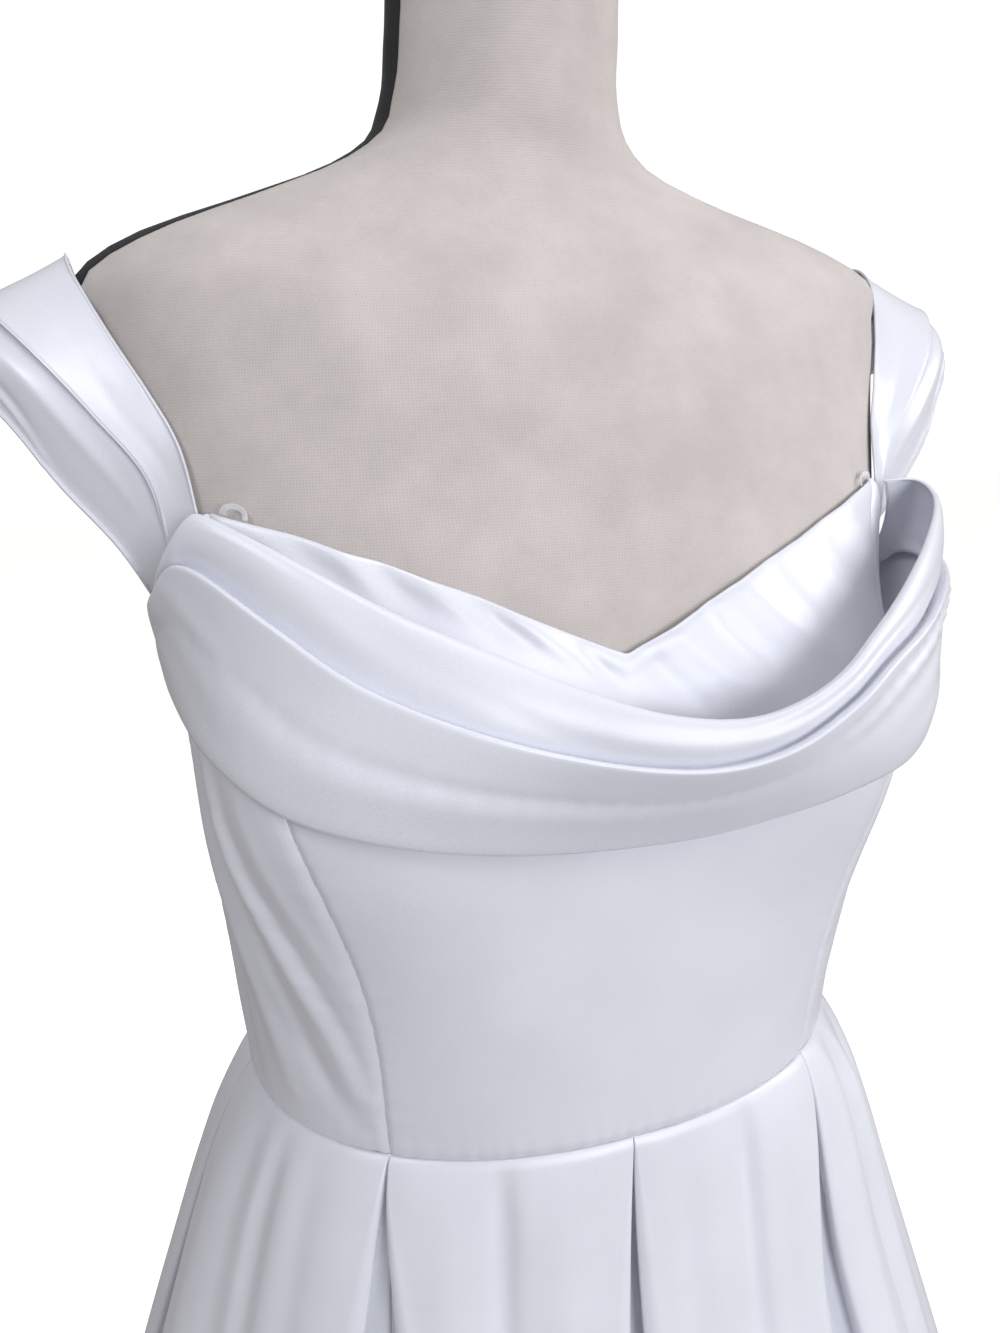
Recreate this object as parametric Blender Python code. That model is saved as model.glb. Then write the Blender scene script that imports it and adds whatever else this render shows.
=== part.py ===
"""An off-shoulder satin dress on a limbless dress form and stand.

Metres, +Z up.  The origin is on the floor under the middle of the stand, the wearer's left is +X and the
front is -Y.  Heights in the tables are above the waist seam.  Angles are degrees round the body from the
centre front, positive toward the wearer's left.
"""
import math

import bmesh
import bpy
from mathutils import Matrix, Vector

MM = 0.001

# Driving sizes
WAIST_HEIGHT = 1.050
HEM_CLEARANCE = 12 * MM
SEAM_GAP = 0.3 * MM
BODICE_WALL = 1.6 * MM
SKIRT_WALL = 1.5 * MM
BAND_WALL = 1.8 * MM
FORM_CLEARANCE = 2.2 * MM
FORM_BOTTOM = -0.240
FORM_SPLIT_Y = -1.0 * MM

# Where the seams run round the body
JUNCTION_ANGLE = 66.5
SIDE_SEAM = 95.0
BACK_SEAM = 138.0
PLEAT_ANGLE = 47.8
ZIP_HALF_WIDTH = 1.5 * MM
ZIP_END = -0.120
BACK_PLEAT = 132.2

# Stand
BASE_RADIUS = 0.180
BASE_THICKNESS = 10 * MM
POLE_RADIUS = 14 * MM
COLLAR_RADIUS = 30 * MM
COLLAR_HEIGHT = 45 * MM
BOARD_THICKNESS = 12 * MM
BOARD_SHARE = 0.96

# Zip chain, slider and pull
ZIP_TOP_DROP = 1.5 * MM
ZIP_ROWS = (0.160, 0.120, 0.080, 0.040, 0.0, -0.012, -0.035, -0.070)
ZIP_SIDE_PLACES = (-13.0, -5.0, 0.0)
ROD_PLACE = 0.40
SLIDER_WIDTH = 5.6 * MM
SLIDER_LENGTH = 8.0 * MM
SLIDER_DEPTH = 1.8 * MM
ROD_RADIUS = 0.5 * MM
RING_BORE = 0.9 * MM
RING_RADIUS = 1.7 * MM
PULL_WIDTH = 2.4 * MM
PULL_LENGTH = 15.0 * MM
# Along the pull from its ring: share of the length, width and thickness
PULL_OUTLINE = (
    (0.12, 2.2 * MM, 1.0 * MM),
    (0.35, 3.4 * MM, 1.0 * MM),
    (0.75, 4.6 * MM, 1.0 * MM),
    (0.92, 4.0 * MM, 1.0 * MM),
    (1.00, 2.4 * MM, 0.8 * MM),
)

# Ribbon loops inside the neckline
LOOP_ANGLE = 62.5
LOOP_HEIGHT = 0.243
LOOP_RADIUS = 4.6 * MM
LOOP_WIDTH = 2.0 * MM
LOOP_THICKNESS = 0.6 * MM
LOOP_INSET = 0.6 * MM


def smooth_between(keys, values, key):
    """Reads a smooth curve through (keys, values), flat beyond its ends."""
    if key <= keys[0]:
        return values[0]
    if key >= keys[-1]:
        return values[-1]
    last = len(keys) - 1
    low = max(i for i in range(last) if keys[i] <= key)

    def slope(i):
        if i in (0, last):
            j = min(i, last - 1)
            return (values[j + 1] - values[j]) / (keys[j + 1] - keys[j])
        before = keys[i] - keys[i - 1]
        after = keys[i + 1] - keys[i]
        rise = (values[i] - values[i - 1]) / before * after + (values[i + 1] - values[i]) / after * before
        return rise / (before + after)

    step = keys[low + 1] - keys[low]
    t = (key - keys[low]) / step
    start = values[low] * (1 + 2 * t) * (1 - t) ** 2 + slope(low) * step * t * (1 - t) ** 2
    end = values[low + 1] * t * t * (3 - 2 * t) + slope(low + 1) * step * t * t * (t - 1)
    return start + end


class Table:
    """Rows of named columns, read smoothly between the rows by the first column."""

    def __init__(self, names, rows):
        self.names = names.split()
        self.rows = rows
        self.columns = {name: [row[i] for row in rows] for i, name in enumerate(self.names)}

    def at(self, key, name):
        return smooth_between(self.columns[self.names[0]], self.columns[name], key)


# The general figure that the dress is cut for: the outside of the bodice, and of the form above it
FIGURE = Table("height lean middle half_width front back power", [
    (-0.240, 0.000, 0.000, 0.160, 0.108, 0.118, 2.2),
    (-0.170, 0.000, 0.000, 0.162, 0.107, 0.122, 2.2),
    (-0.100, 0.000, 0.000, 0.152, 0.101, 0.112, 2.2),
    (-0.050, 0.000, 0.000, 0.142, 0.101, 0.098, 2.2),
    (0.000, 0.000, 0.000, 0.137, 0.1075, 0.092, 2.2),
    (0.040, 0.000, 0.000, 0.1385, 0.109, 0.094, 2.35),
    (0.080, 0.000, 0.000, 0.1415, 0.1105, 0.097, 2.65),
    (0.120, 0.000, 0.000, 0.144, 0.111, 0.100, 2.9),
    (0.160, 0.000, 0.000, 0.1465, 0.108, 0.103, 2.9),
    (0.200, 0.000, 0.001, 0.153, 0.102, 0.106, 2.6),
    (0.240, 0.000, 0.003, 0.163, 0.094, 0.105, 2.35),
    (0.280, 0.000, 0.006, 0.168, 0.086, 0.100, 2.2),
    (0.310, 0.000, 0.010, 0.172, 0.079, 0.092, 2.2),
    (0.330, -0.001, 0.014, 0.174, 0.071, 0.080, 2.2),
    (0.345, -0.005, 0.017, 0.148, 0.063, 0.070, 2.2),
    (0.358, -0.008, 0.018, 0.108, 0.057, 0.061, 2.2),
    (0.370, -0.007, 0.017, 0.076, 0.052, 0.055, 2.1),
    (0.381, -0.004, 0.015, 0.060, 0.050, 0.051, 2.0),
    (0.396, -0.003, 0.013, 0.053, 0.049, 0.050, 2.0),
    (0.420, -0.001, 0.013, 0.0510, 0.0495, 0.0495, 2.0),
    (0.468, 0.001, 0.013, 0.050, 0.0495, 0.0495, 2.0),
])
# The form's rings from its underside to the neck cap, each with its share of the full section
FORM_RINGS = (
    (-0.240, 0.975), (-0.234, 1.0), (-0.205, 1.0), (-0.170, 1.0), (-0.135, 1.0), (-0.100, 1.0), (-0.072, 1.0),
    (-0.045, 1.0), (-0.020, 1.0), (0.002, 1.0), (0.024, 1.0), (0.048, 1.0), (0.072, 1.0), (0.096, 1.0),
    (0.120, 1.0), (0.145, 1.0), (0.170, 1.0), (0.195, 1.0), (0.220, 1.0), (0.247, 1.0), (0.272, 1.0),
    (0.296, 1.0), (0.315, 1.0), (0.329, 1.0), (0.339, 1.0), (0.348, 1.0), (0.357, 1.0), (0.365, 1.0),
    (0.373, 1.0), (0.381, 1.0), (0.391, 1.0), (0.408, 1.0), (0.435, 1.0), (0.462, 1.0), (0.468, 0.93),
)
FORM_COLUMNS = 25
BUST_ANGLE = 46.0
BUST_SPREAD = 22.0
BUST_HEIGHT = 0.148
BUST_RISE = 0.050
BUST_FULLNESS = 14 * MM

# The princess seam leans out over the bust to the corner where the strap starts
PRINCESS = Table("height angle", [
    (0.000, 47.8),
    (0.090, 47.4),
    (0.125, 49.0),
    (0.150, 52.0),
    (0.200, 59.0),
    (0.2462, JUNCTION_ANGLE),
])

# Top edge of the bodice: the sweetheart front, then the armhole and the back
NECKLINE = Table("angle height", [
    (0.0, 0.1925),
    (8.0, 0.1985),
    (24.0, 0.2125),
    (42.0, 0.2278),
    (58.0, 0.2405),
    (JUNCTION_ANGLE, 0.2462),
])
ARMHOLE = Table("angle height", [
    (JUNCTION_ANGLE, 0.2462),
    (72.0, 0.2300),
    (80.0, 0.2100),
    (88.0, 0.1985),
    (SIDE_SEAM, 0.1960),
    (115.0, 0.1965),
    (BACK_SEAM, 0.1935),
    (180.0, 0.1860),
])

# The cowl drape, from the right armhole round the front to the left one
DRAPE = Table(
    "station top_angle top_height top_out ridge_angle ridge_height ridge_out low_angle low_height low_out", [
        (0, -67.2, 0.2440, 0.0040, -80.0, 0.2040, 0.0042, -94.0, 0.1840, 0.0040),
        (1, -65.3, 0.2456, 0.0042, -73.0, 0.2175, 0.0055, -84.0, 0.1800, 0.0045),
        (2, -60.1, 0.2400, 0.0050, -66.5, 0.2275, 0.0070, -73.6, 0.1734, 0.0050),
        (3, -48.2, 0.2254, 0.0075, -54.0, 0.2110, 0.0105, -60.0, 0.1608, 0.0050),
        (4, -38.1, 0.2136, 0.0105, -41.0, 0.1918, 0.0145, -46.9, 0.1472, 0.0050),
        (5, -23.8, 0.1993, 0.0150, -26.0, 0.1760, 0.0195, -29.0, 0.1340, 0.0055),
        (6, -12.0, 0.1876, 0.0190, -13.0, 0.1660, 0.0230, -15.0, 0.1286, 0.0065),
        (7, 0.0, 0.1780, 0.0245, 0.0, 0.1600, 0.0275, 0.0, 0.1266, 0.0080),
        (8, 10.9, 0.1743, 0.0280, 10.0, 0.1592, 0.0300, 12.7, 0.1274, 0.0085),
        (9, 18.6, 0.1773, 0.0300, 18.5, 0.1642, 0.0315, 25.8, 0.1318, 0.0095),
        (10, 26.1, 0.1851, 0.0305, 27.0, 0.1745, 0.0315, 36.0, 0.1375, 0.0100),
        (11, 34.0, 0.1976, 0.0300, 36.0, 0.1870, 0.0305, 46.0, 0.1430, 0.0100),
        (12, 45.0, 0.2130, 0.0290, 48.0, 0.1970, 0.0280, 56.0, 0.1520, 0.0095),
        (13, 57.3, 0.2290, 0.0270, 60.0, 0.2060, 0.0260, 66.0, 0.1630, 0.0090),
        (14, 66.0, 0.2390, 0.0230, 70.0, 0.2120, 0.0210, 76.0, 0.1740, 0.0080),
        (15, 69.8, 0.2440, 0.0150, 76.5, 0.2120, 0.0140, 86.0, 0.1820, 0.0060),
        (16, 67.8, 0.2440, 0.0030, 80.0, 0.2050, 0.0030, 94.0, 0.1850, 0.0030),
    ])
# Across the band: place from the top edge to the lower edge, and how far its folds stand out
BAND_FOLDS = Table("across stand", [
    (0.00, 0.0 * MM),
    (0.08, 0.6 * MM),
    (0.24, 0.2 * MM),
    (0.36, -1.0 * MM),
    (0.42, 1.5 * MM),
    (0.50, 0.9 * MM),
    (0.62, -0.5 * MM),
    (0.68, 0.9 * MM),
    (0.82, 0.5 * MM),
    (0.94, 0.4 * MM),
    (1.00, -0.4 * MM),
])
RIDGE_PLACE = 0.42

# One strap, from the front of the armhole over the shoulder to its back, for the wearer's left
STRAP = Table("station inner_x inner_y inner_z crest_x crest_y crest_z outer_x outer_y outer_z", [
    (1, 0.1415, -0.0460, 0.2670, 0.1550, -0.0410, 0.2530, 0.1640, -0.0310, 0.2330),
    (2, 0.1500, -0.0350, 0.2860, 0.1720, -0.0370, 0.2760, 0.1815, -0.0290, 0.2565),
    (3, 0.1610, -0.0200, 0.3070, 0.1890, -0.0270, 0.2960, 0.1965, -0.0200, 0.2785),
    (4, 0.1715, -0.0010, 0.3295, 0.2050, -0.0060, 0.3110, 0.2100, -0.0060, 0.2920),
    (5, 0.1735, 0.0170, 0.3385, 0.2130, 0.0180, 0.3150, 0.2145, 0.0200, 0.2960),
    (6, 0.1720, 0.0400, 0.3310, 0.2040, 0.0440, 0.3080, 0.2030, 0.0450, 0.2900),
    (7, 0.1640, 0.0620, 0.3090, 0.1860, 0.0630, 0.2880, 0.1840, 0.0610, 0.2710),
    (8, 0.1500, 0.0800, 0.2700, 0.1640, 0.0720, 0.2490, 0.1640, 0.0600, 0.2310),
])
STRAP_FRONT_ANGLES = (67.3, 80.0)
STRAP_BACK_ANGLES = (128.0, 104.0)
STRAP_END_FOLD = 0.15
STRAP_FOLDS = Table("across stand", [
    (0.00, 0.0 * MM),
    (0.14, 0.5 * MM),
    (0.32, -0.8 * MM),
    (0.40, 1.5 * MM),
    (0.56, 0.8 * MM),
    (0.70, -0.8 * MM),
    (0.78, 0.9 * MM),
    (0.90, 0.4 * MM),
    (1.00, -0.4 * MM),
])

# The skirt without its pleats
SKIRT = Table("height half_width front back power", [
    (-1.038, 0.424, 0.370, 0.422, 2.1),
    (-0.800, 0.370, 0.314, 0.364, 2.2),
    (-0.600, 0.322, 0.262, 0.312, 2.25),
    (-0.400, 0.274, 0.206, 0.256, 2.3),
    (-0.250, 0.232, 0.158, 0.204, 2.35),
    (-0.160, 0.202, 0.132, 0.170, 2.4),
    (-0.100, 0.1805, 0.1185, 0.145, 2.45),
    (-0.060, 0.1665, 0.1135, 0.126, 2.45),
    (-0.030, 0.1545, 0.1105, 0.110, 2.4),
    (-0.010, 0.1440, 0.1085, 0.098, 2.3),
    (0.000, 0.137, 0.1075, 0.092, 2.2),
])
SKIRT_ROWS = (0.0, -0.012, -0.035, -0.070, -0.120, -0.136, -0.210, -0.310, -0.460, -0.650, -0.850)

# Folded pleats: place, and how far each opens beside the widest one
PLEATS = Table("angle opening lean", [
    (-132.2, 0.9, 0.0),
    (-90.0, 0.7, 0.0),
    (-PLEAT_ANGLE, 1.0, 1.5),
    (0.0, 0.4, -1.0),
    (PLEAT_ANGLE, 0.6, -4.0),
    (90.0, 0.8, 0.0),
    (132.2, 0.9, 0.0),
])
PLEAT_GROWTH = Table("drop opening depth tuck softness lean", [
    (0.000, 0.0004, 0.0006, 0.0000, 0.000, 0.0),
    (0.012, 0.0009, 0.0040, 0.0000, 0.000, 0.2),
    (0.035, 0.0026, 0.0070, 0.0020, 0.000, 0.6),
    (0.070, 0.0060, 0.0095, 0.0050, 0.000, 0.9),
    (0.120, 0.0105, 0.0120, 0.0060, 0.002, 1.0),
    (0.210, 0.0165, 0.0150, 0.0055, 0.004, 1.0),
    (0.310, 0.0220, 0.0180, 0.0040, 0.008, 0.9),
    (0.460, 0.0280, 0.0220, 0.0020, 0.010, 0.7),
    (0.650, 0.0320, 0.0260, 0.0000, 0.012, 0.5),
    (0.850, 0.0350, 0.0290, 0.0000, 0.015, 0.3),
    (1.038, 0.0370, 0.0310, 0.0000, 0.018, 0.2),
])
# Half of a folded pleat, from the middle of its underlay out to the flat panel
PLEAT_HALF = (
    dict(opening=0.0, tuck=0.0, softness=0.0, rounds=0.0, depth=1.00),
    dict(opening=0.7, tuck=0.6, softness=0.0, rounds=0.0, depth=1.00),
    dict(opening=1.0, tuck=1.0, softness=0.0, rounds=0.0, depth=0.88),
    dict(opening=1.0, tuck=0.6, softness=0.3, rounds=0.0, depth=0.68),
    dict(opening=1.0, tuck=0.0, softness=0.6, rounds=0.0, depth=0.26),
    dict(opening=1.0, tuck=0.3, softness=1.0, rounds=1.0, depth=0.03),
    dict(opening=1.2, tuck=1.2, softness=1.7, rounds=2.0, depth=0.00),
)
FOLD_ROUND = 1.5 * MM
FULL_DEPTH = 6.0 * MM
MITER_LIMIT = 1.25
# Soft unpressed pleats between the folded ones
SOFT_PLEATS = (-156.0, -111.0, -68.0, -27.0, 27.0, 68.0, 111.0, 156.0)
SOFT_PLACES = (-8.0, -3.0, 0.0, 3.0, 8.0)
CREASE_SPREAD = 2.6
WAVE_SPREAD = 9.0
SOFT_CREASE = Table("drop crease wave", [
    (0.000, 0.0000, 0.000),
    (0.020, 0.0030, 0.000),
    (0.060, 0.0032, 0.001),
    (0.130, 0.0020, 0.003),
    (0.300, 0.0010, 0.008),
    (1.038, 0.0000, 0.022),
])


def make_material(name, colour, roughness, metallic=0.0):
    """A plain surface with a colour, a roughness and a metallic value."""
    material = bpy.data.materials.new(name)
    material.use_nodes = True
    shader = material.node_tree.nodes["Principled BSDF"]
    shader.inputs["Base Color"].default_value = (*colour, 1.0)
    shader.inputs["Roughness"].default_value = roughness
    shader.inputs["Metallic"].default_value = metallic
    return material


def add_object(name, mesh_builder, material, sharp_angle=40.0):
    """Puts a bmesh into the scene as one smooth-shaded object."""
    mesh = bpy.data.meshes.new(name)
    bmesh.ops.recalc_face_normals(mesh_builder, faces=mesh_builder.faces)
    if mesh_builder.calc_volume(signed=True) < 0:
        bmesh.ops.reverse_faces(mesh_builder, faces=mesh_builder.faces)
    mesh_builder.to_mesh(mesh)
    mesh_builder.free()
    mesh.materials.append(material)
    mesh.shade_smooth()
    mesh.set_sharp_from_angle(angle=math.radians(sharp_angle))
    obj = bpy.data.objects.new(name, mesh)
    bpy.context.scene.collection.objects.link(obj)
    return obj


def section_radius(angle, half_width, front, back, power):
    """Radius of a rounded section in a direction, from its half width and its depths."""
    t = math.radians(angle)
    depth = front if math.cos(t) > 0 else back
    across = abs(math.sin(t) / half_width) ** power
    along = abs(math.cos(t) / depth) ** power
    return (across + along) ** (-1 / power)


def figure_radius(angle, height):
    sizes = [FIGURE.at(height, name) for name in ("half_width", "front", "back", "power")]
    from_bust = ((abs(angle) - BUST_ANGLE) / BUST_SPREAD) ** 2 + ((height - BUST_HEIGHT) / BUST_RISE) ** 2
    return section_radius(angle, *sizes) + BUST_FULLNESS * math.exp(-from_bust)


def figure_point(angle, height, out=0.0):
    """A point on the figure, moved straight out from its middle."""
    radius = figure_radius(angle, height) + out
    t = math.radians(angle)
    lean = FIGURE.at(height, "lean")
    middle = FIGURE.at(height, "middle")
    return Vector((lean + radius * math.sin(t), middle - radius * math.cos(t), WAIST_HEIGHT + height))


def top_edge(angle):
    """Height of the bodice's top edge."""
    table = NECKLINE if abs(angle) <= JUNCTION_ANGLE else ARMHOLE
    return table.at(abs(angle), "height")


def close_wall(outer, inner):
    """A closed cloth wall between two grids of points that have the same rows and columns."""
    shell = bmesh.new()
    sides = [[[shell.verts.new(point) for point in row] for row in grid] for grid in (outer, inner)]
    rows = len(outer)
    columns = len(outer[0])
    for side in sides:
        for r in range(rows - 1):
            for c in range(columns - 1):
                shell.faces.new((side[r][c], side[r][c + 1], side[r + 1][c + 1], side[r + 1][c]))
    front, back = sides
    for r in (0, rows - 1):
        for c in range(columns - 1):
            shell.faces.new((front[r][c], front[r][c + 1], back[r][c + 1], back[r][c]))
    for c in (0, columns - 1):
        for r in range(rows - 1):
            shell.faces.new((front[r][c], front[r + 1][c], back[r + 1][c], back[r][c]))
    return shell


def spread(start, end, count):
    """Evenly spaced numbers from start to end."""
    return [start + (end - start) * i / (count - 1) for i in range(count)]


def bodice_panel(name, left_edge, right_edge, columns, material, rows=9):
    """One cut piece of the bodice between two seams, each given as an angle for a height."""

    def place(u, v, out):
        angle = left_edge(0.0) * (1 - u) + right_edge(0.0) * u
        for _ in range(12):
            height = SEAM_GAP / 2 + v * (top_edge(angle) - SEAM_GAP / 2)
            angle = left_edge(height) * (1 - u) + right_edge(height) * u
        gap = math.degrees(SEAM_GAP / 2 / figure_radius(angle, height))
        if u == 0.0:
            angle += gap
        if u == 1.0:
            angle -= gap
        return figure_point(angle, height, out)

    grids = [[[place(u, v, out) for u in spread(0.0, 1.0, columns)] for v in spread(0.0, 1.0, rows)]
             for out in (0.0, -BODICE_WALL)]
    return add_object(name, close_wall(*grids), material)


def build_bodice(satin):
    """The seven cut pieces of the bodice."""

    def princess(height):
        return PRINCESS.at(height, "angle")

    def zip_edge(height):
        return 180.0 - math.degrees((ZIP_HALF_WIDTH - SEAM_GAP / 2) / figure_radius(180.0, height))

    bodice_panel("bodice_front", lambda h: -princess(h), princess, 21, satin)
    for side, sign in (("left", 1), ("right", -1)):
        pieces = (
            ("bodice_side_front_", princess, lambda h: SIDE_SEAM, 8),
            ("bodice_side_back_", lambda h: SIDE_SEAM, lambda h: BACK_SEAM, 7),
            ("bodice_back_", lambda h: BACK_SEAM, zip_edge, 7),
        )
        for name, near, far, columns in pieces:
            if sign > 0:
                bodice_panel(name + side, near, far, columns, satin)
            else:
                bodice_panel(name + side, lambda h, f=far: -f(h), lambda h, n=near: -n(h), columns, satin)


def band_normal(surface, station, across, last):
    """Direction square to a band's smooth surface, along its length crossed with across it."""
    tiny = 2e-3
    near = min(max(station, tiny), last - tiny)
    middle = min(max(across, tiny), 1 - tiny)
    step_along = surface(near + tiny, middle) - surface(near - tiny, middle)
    step_across = surface(near, middle + tiny) - surface(near, middle - tiny)
    return step_along.cross(step_across).normalized()


def build_drape(satin):
    """The cowl band: it lies close on the right bust and hangs open on the left one."""
    last = DRAPE.rows[-1][0]

    def surface(station, across):
        reach = []
        for name in ("angle", "height", "out"):
            guides = [DRAPE.at(station, part + name) for part in ("top_", "ridge_", "low_")]
            reach.append(smooth_between([0.0, RIDGE_PLACE, 1.0], guides, across))
        return figure_point(*reach)

    def place(station, across, depth):
        out = -band_normal(surface, station, across, last)
        return surface(station, across) + out * (BAND_FOLDS.at(across, "stand") - depth)

    stations = spread(0.0, last, 2 * last + 1)
    across = BAND_FOLDS.columns["across"]
    grids = [[[place(s, v, depth) for s in stations] for v in across] for depth in (0.0, BAND_WALL)]
    return add_object("drape", close_wall(*grids), satin)


def strap_guides():
    """Inner, crest and outer points of a strap at each station, its two ends on the armhole edge."""
    last = len(STRAP.rows) + 1
    guides = {}
    for station, angles in ((0, STRAP_FRONT_ANGLES), (last, STRAP_BACK_ANGLES)):
        middle = sum(angles) / 2
        guides[station] = [figure_point(angle, top_edge(angle) + 2 * SEAM_GAP)
                           for angle in (angles[0], middle, angles[1])]
    for row in STRAP.rows:
        guides[row[0]] = [Vector((x, y, WAIST_HEIGHT + z)) for x, y, z in (row[1:4], row[4:7], row[7:10])]
    return guides


def build_strap(side, sign, satin):
    """A folded band from the front of the armhole, over the shoulder end, to the back of it."""
    guides = strap_guides()
    keys = sorted(guides)
    last = keys[-1]

    def middle_surface(station, across):
        curve = [[smooth_between(keys, [guides[k][part][axis] for k in keys], station) for part in range(3)]
                 for axis in range(3)]
        return Vector([smooth_between([0.0, 0.5, 1.0], values, across) for values in curve])

    def place(station, across, depth):
        out = band_normal(middle_surface, station, across, last)
        from_end = min(1.0, station, last - station)
        ease = min(1.0, STRAP_END_FOLD + from_end)
        out.z *= from_end
        out.normalize()
        point = middle_surface(station, across) + out * (STRAP_FOLDS.at(across, "stand") * ease - depth)
        return Vector((sign * point.x, point.y, point.z))

    stations = spread(0.0, last, 2 * last + 1)
    across = STRAP_FOLDS.columns["across"]
    grids = [[[place(s, v, depth) for s in stations] for v in across] for depth in (0.0, BAND_WALL)]
    return add_object("strap_" + side, close_wall(*grids), satin)


def skirt_radius(angle, height):
    """Radius of the skirt without its folded pleats."""
    sizes = [SKIRT.at(height, name) for name in ("half_width", "front", "back", "power")]
    crease = SOFT_CREASE.at(-height, "crease")
    wave = SOFT_CREASE.at(-height, "wave")
    dip = 0.0
    for place in SOFT_PLEATS:
        away = abs(angle - place)
        dip += crease * math.exp(-(away / CREASE_SPREAD) ** 2) + wave * math.exp(-(away / WAVE_SPREAD) ** 2)
    return section_radius(angle, *sizes) - dip


def half_pleat(angle, height, side):
    """(angle, radius) from the middle of a folded pleat's underlay out to the flat cloth on one side."""
    share = PLEATS.at(angle, "opening")
    opening, depth, tuck, softness, lean = [PLEAT_GROWTH.at(-height, name)
                                            for name in ("opening", "depth", "tuck", "softness", "lean")]
    angle += lean * PLEATS.at(angle, "lean")
    fold_round = FOLD_ROUND * min(1.0, depth / FULL_DEPTH)
    points = []
    for row in PLEAT_HALF:
        away = row["opening"] * opening * share + row["tuck"] * tuck
        away += row["softness"] * softness * share + row["rounds"] * fold_round
        turned = angle + side * math.degrees(away / skirt_radius(angle, height))
        points.append((turned, skirt_radius(turned, height) - row["depth"] * depth))
    return points


def skirt_row(features, height):
    """(angle, radius) along one cut piece of the skirt: its half pleats, whole pleats and soft pleats."""
    points = []
    for kind, angle in features:
        if kind == "soft":
            points.extend((angle + away, skirt_radius(angle + away, height)) for away in SOFT_PLACES)
        elif kind == "start":
            points.extend(half_pleat(angle, height, 1))
        elif kind == "end":
            points.extend(reversed(half_pleat(angle, height, -1)))
        elif kind == "whole":
            points.extend(reversed(half_pleat(angle, height, -1)))
            points.extend(half_pleat(angle, height, 1)[1:])
        elif kind == "zip":
            places = [angle + away for away in ZIP_SIDE_PLACES]
            if angle < 0:
                places = [angle - away for away in reversed(ZIP_SIDE_PLACES)]
            points.extend((place, skirt_radius(place, height)) for place in places)
    return points


def skirt_panel(name, features, material):
    """One cut piece of the skirt as a wall that follows its folds, hem to waist."""
    top = -SEAM_GAP / 2
    hem = HEM_CLEARANCE - WAIST_HEIGHT
    outer = []
    inner = []
    for height in (top, *SKIRT_ROWS[1:], hem):
        row = skirt_row(features, height)
        edge_gap = ZIP_HALF_WIDTH if height >= ZIP_END else SEAM_GAP / 2
        gaps = [SEAM_GAP / 2, SEAM_GAP / 2]
        for i, at_zip in ((0, row[0][0] == -180.0), (-1, row[-1][0] == 180.0)):
            gap = edge_gap if at_zip else gaps[i]
            angle, radius = row[i]
            turn = math.degrees(gap / radius)
            row[i] = (angle + (turn if i == 0 else -turn), radius)
        points = [Vector((r * math.sin(math.radians(a)), -r * math.cos(math.radians(a)))) for a, r in row]
        steps = [(points[i + 1] - points[i]).normalized() for i in range(len(points) - 1)]
        outer.append([Vector((p.x, p.y, WAIST_HEIGHT + height)) for p in points])
        shifted = []
        for i, point in enumerate(points):
            before = steps[max(i - 1, 0)]
            after = steps[min(i, len(steps) - 1)]
            along = (before + after).normalized()
            miter = min(1 / max(along.dot(after), 0.1), MITER_LIMIT)
            shifted.append(point - Vector((along.y, -along.x)) * SKIRT_WALL * miter)
        inner.append([Vector((p.x, p.y, WAIST_HEIGHT + height)) for p in shifted])
    return add_object(name, close_wall(outer, inner), material)


def build_skirt(satin):
    """The five cut pieces of the skirt, joined inside the folded pleats."""
    front = [("start", -PLEAT_ANGLE), ("soft", -27.0), ("whole", 0.0), ("soft", 27.0), ("end", PLEAT_ANGLE)]
    side = [("start", PLEAT_ANGLE), ("soft", 68.0), ("whole", 90.0), ("soft", 111.0), ("end", BACK_PLEAT)]
    back = [("start", BACK_PLEAT), ("soft", 156.0), ("zip", 180.0)]
    swap = {"start": "end", "end": "start"}
    skirt_panel("skirt_front", front, satin)
    for name, features in (("skirt_side_", side), ("skirt_back_", back)):
        skirt_panel(name + "left", features, satin)
        mirrored = [(swap.get(kind, kind), -angle) for kind, angle in reversed(features)]
        skirt_panel(name + "right", mirrored, satin)


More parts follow.
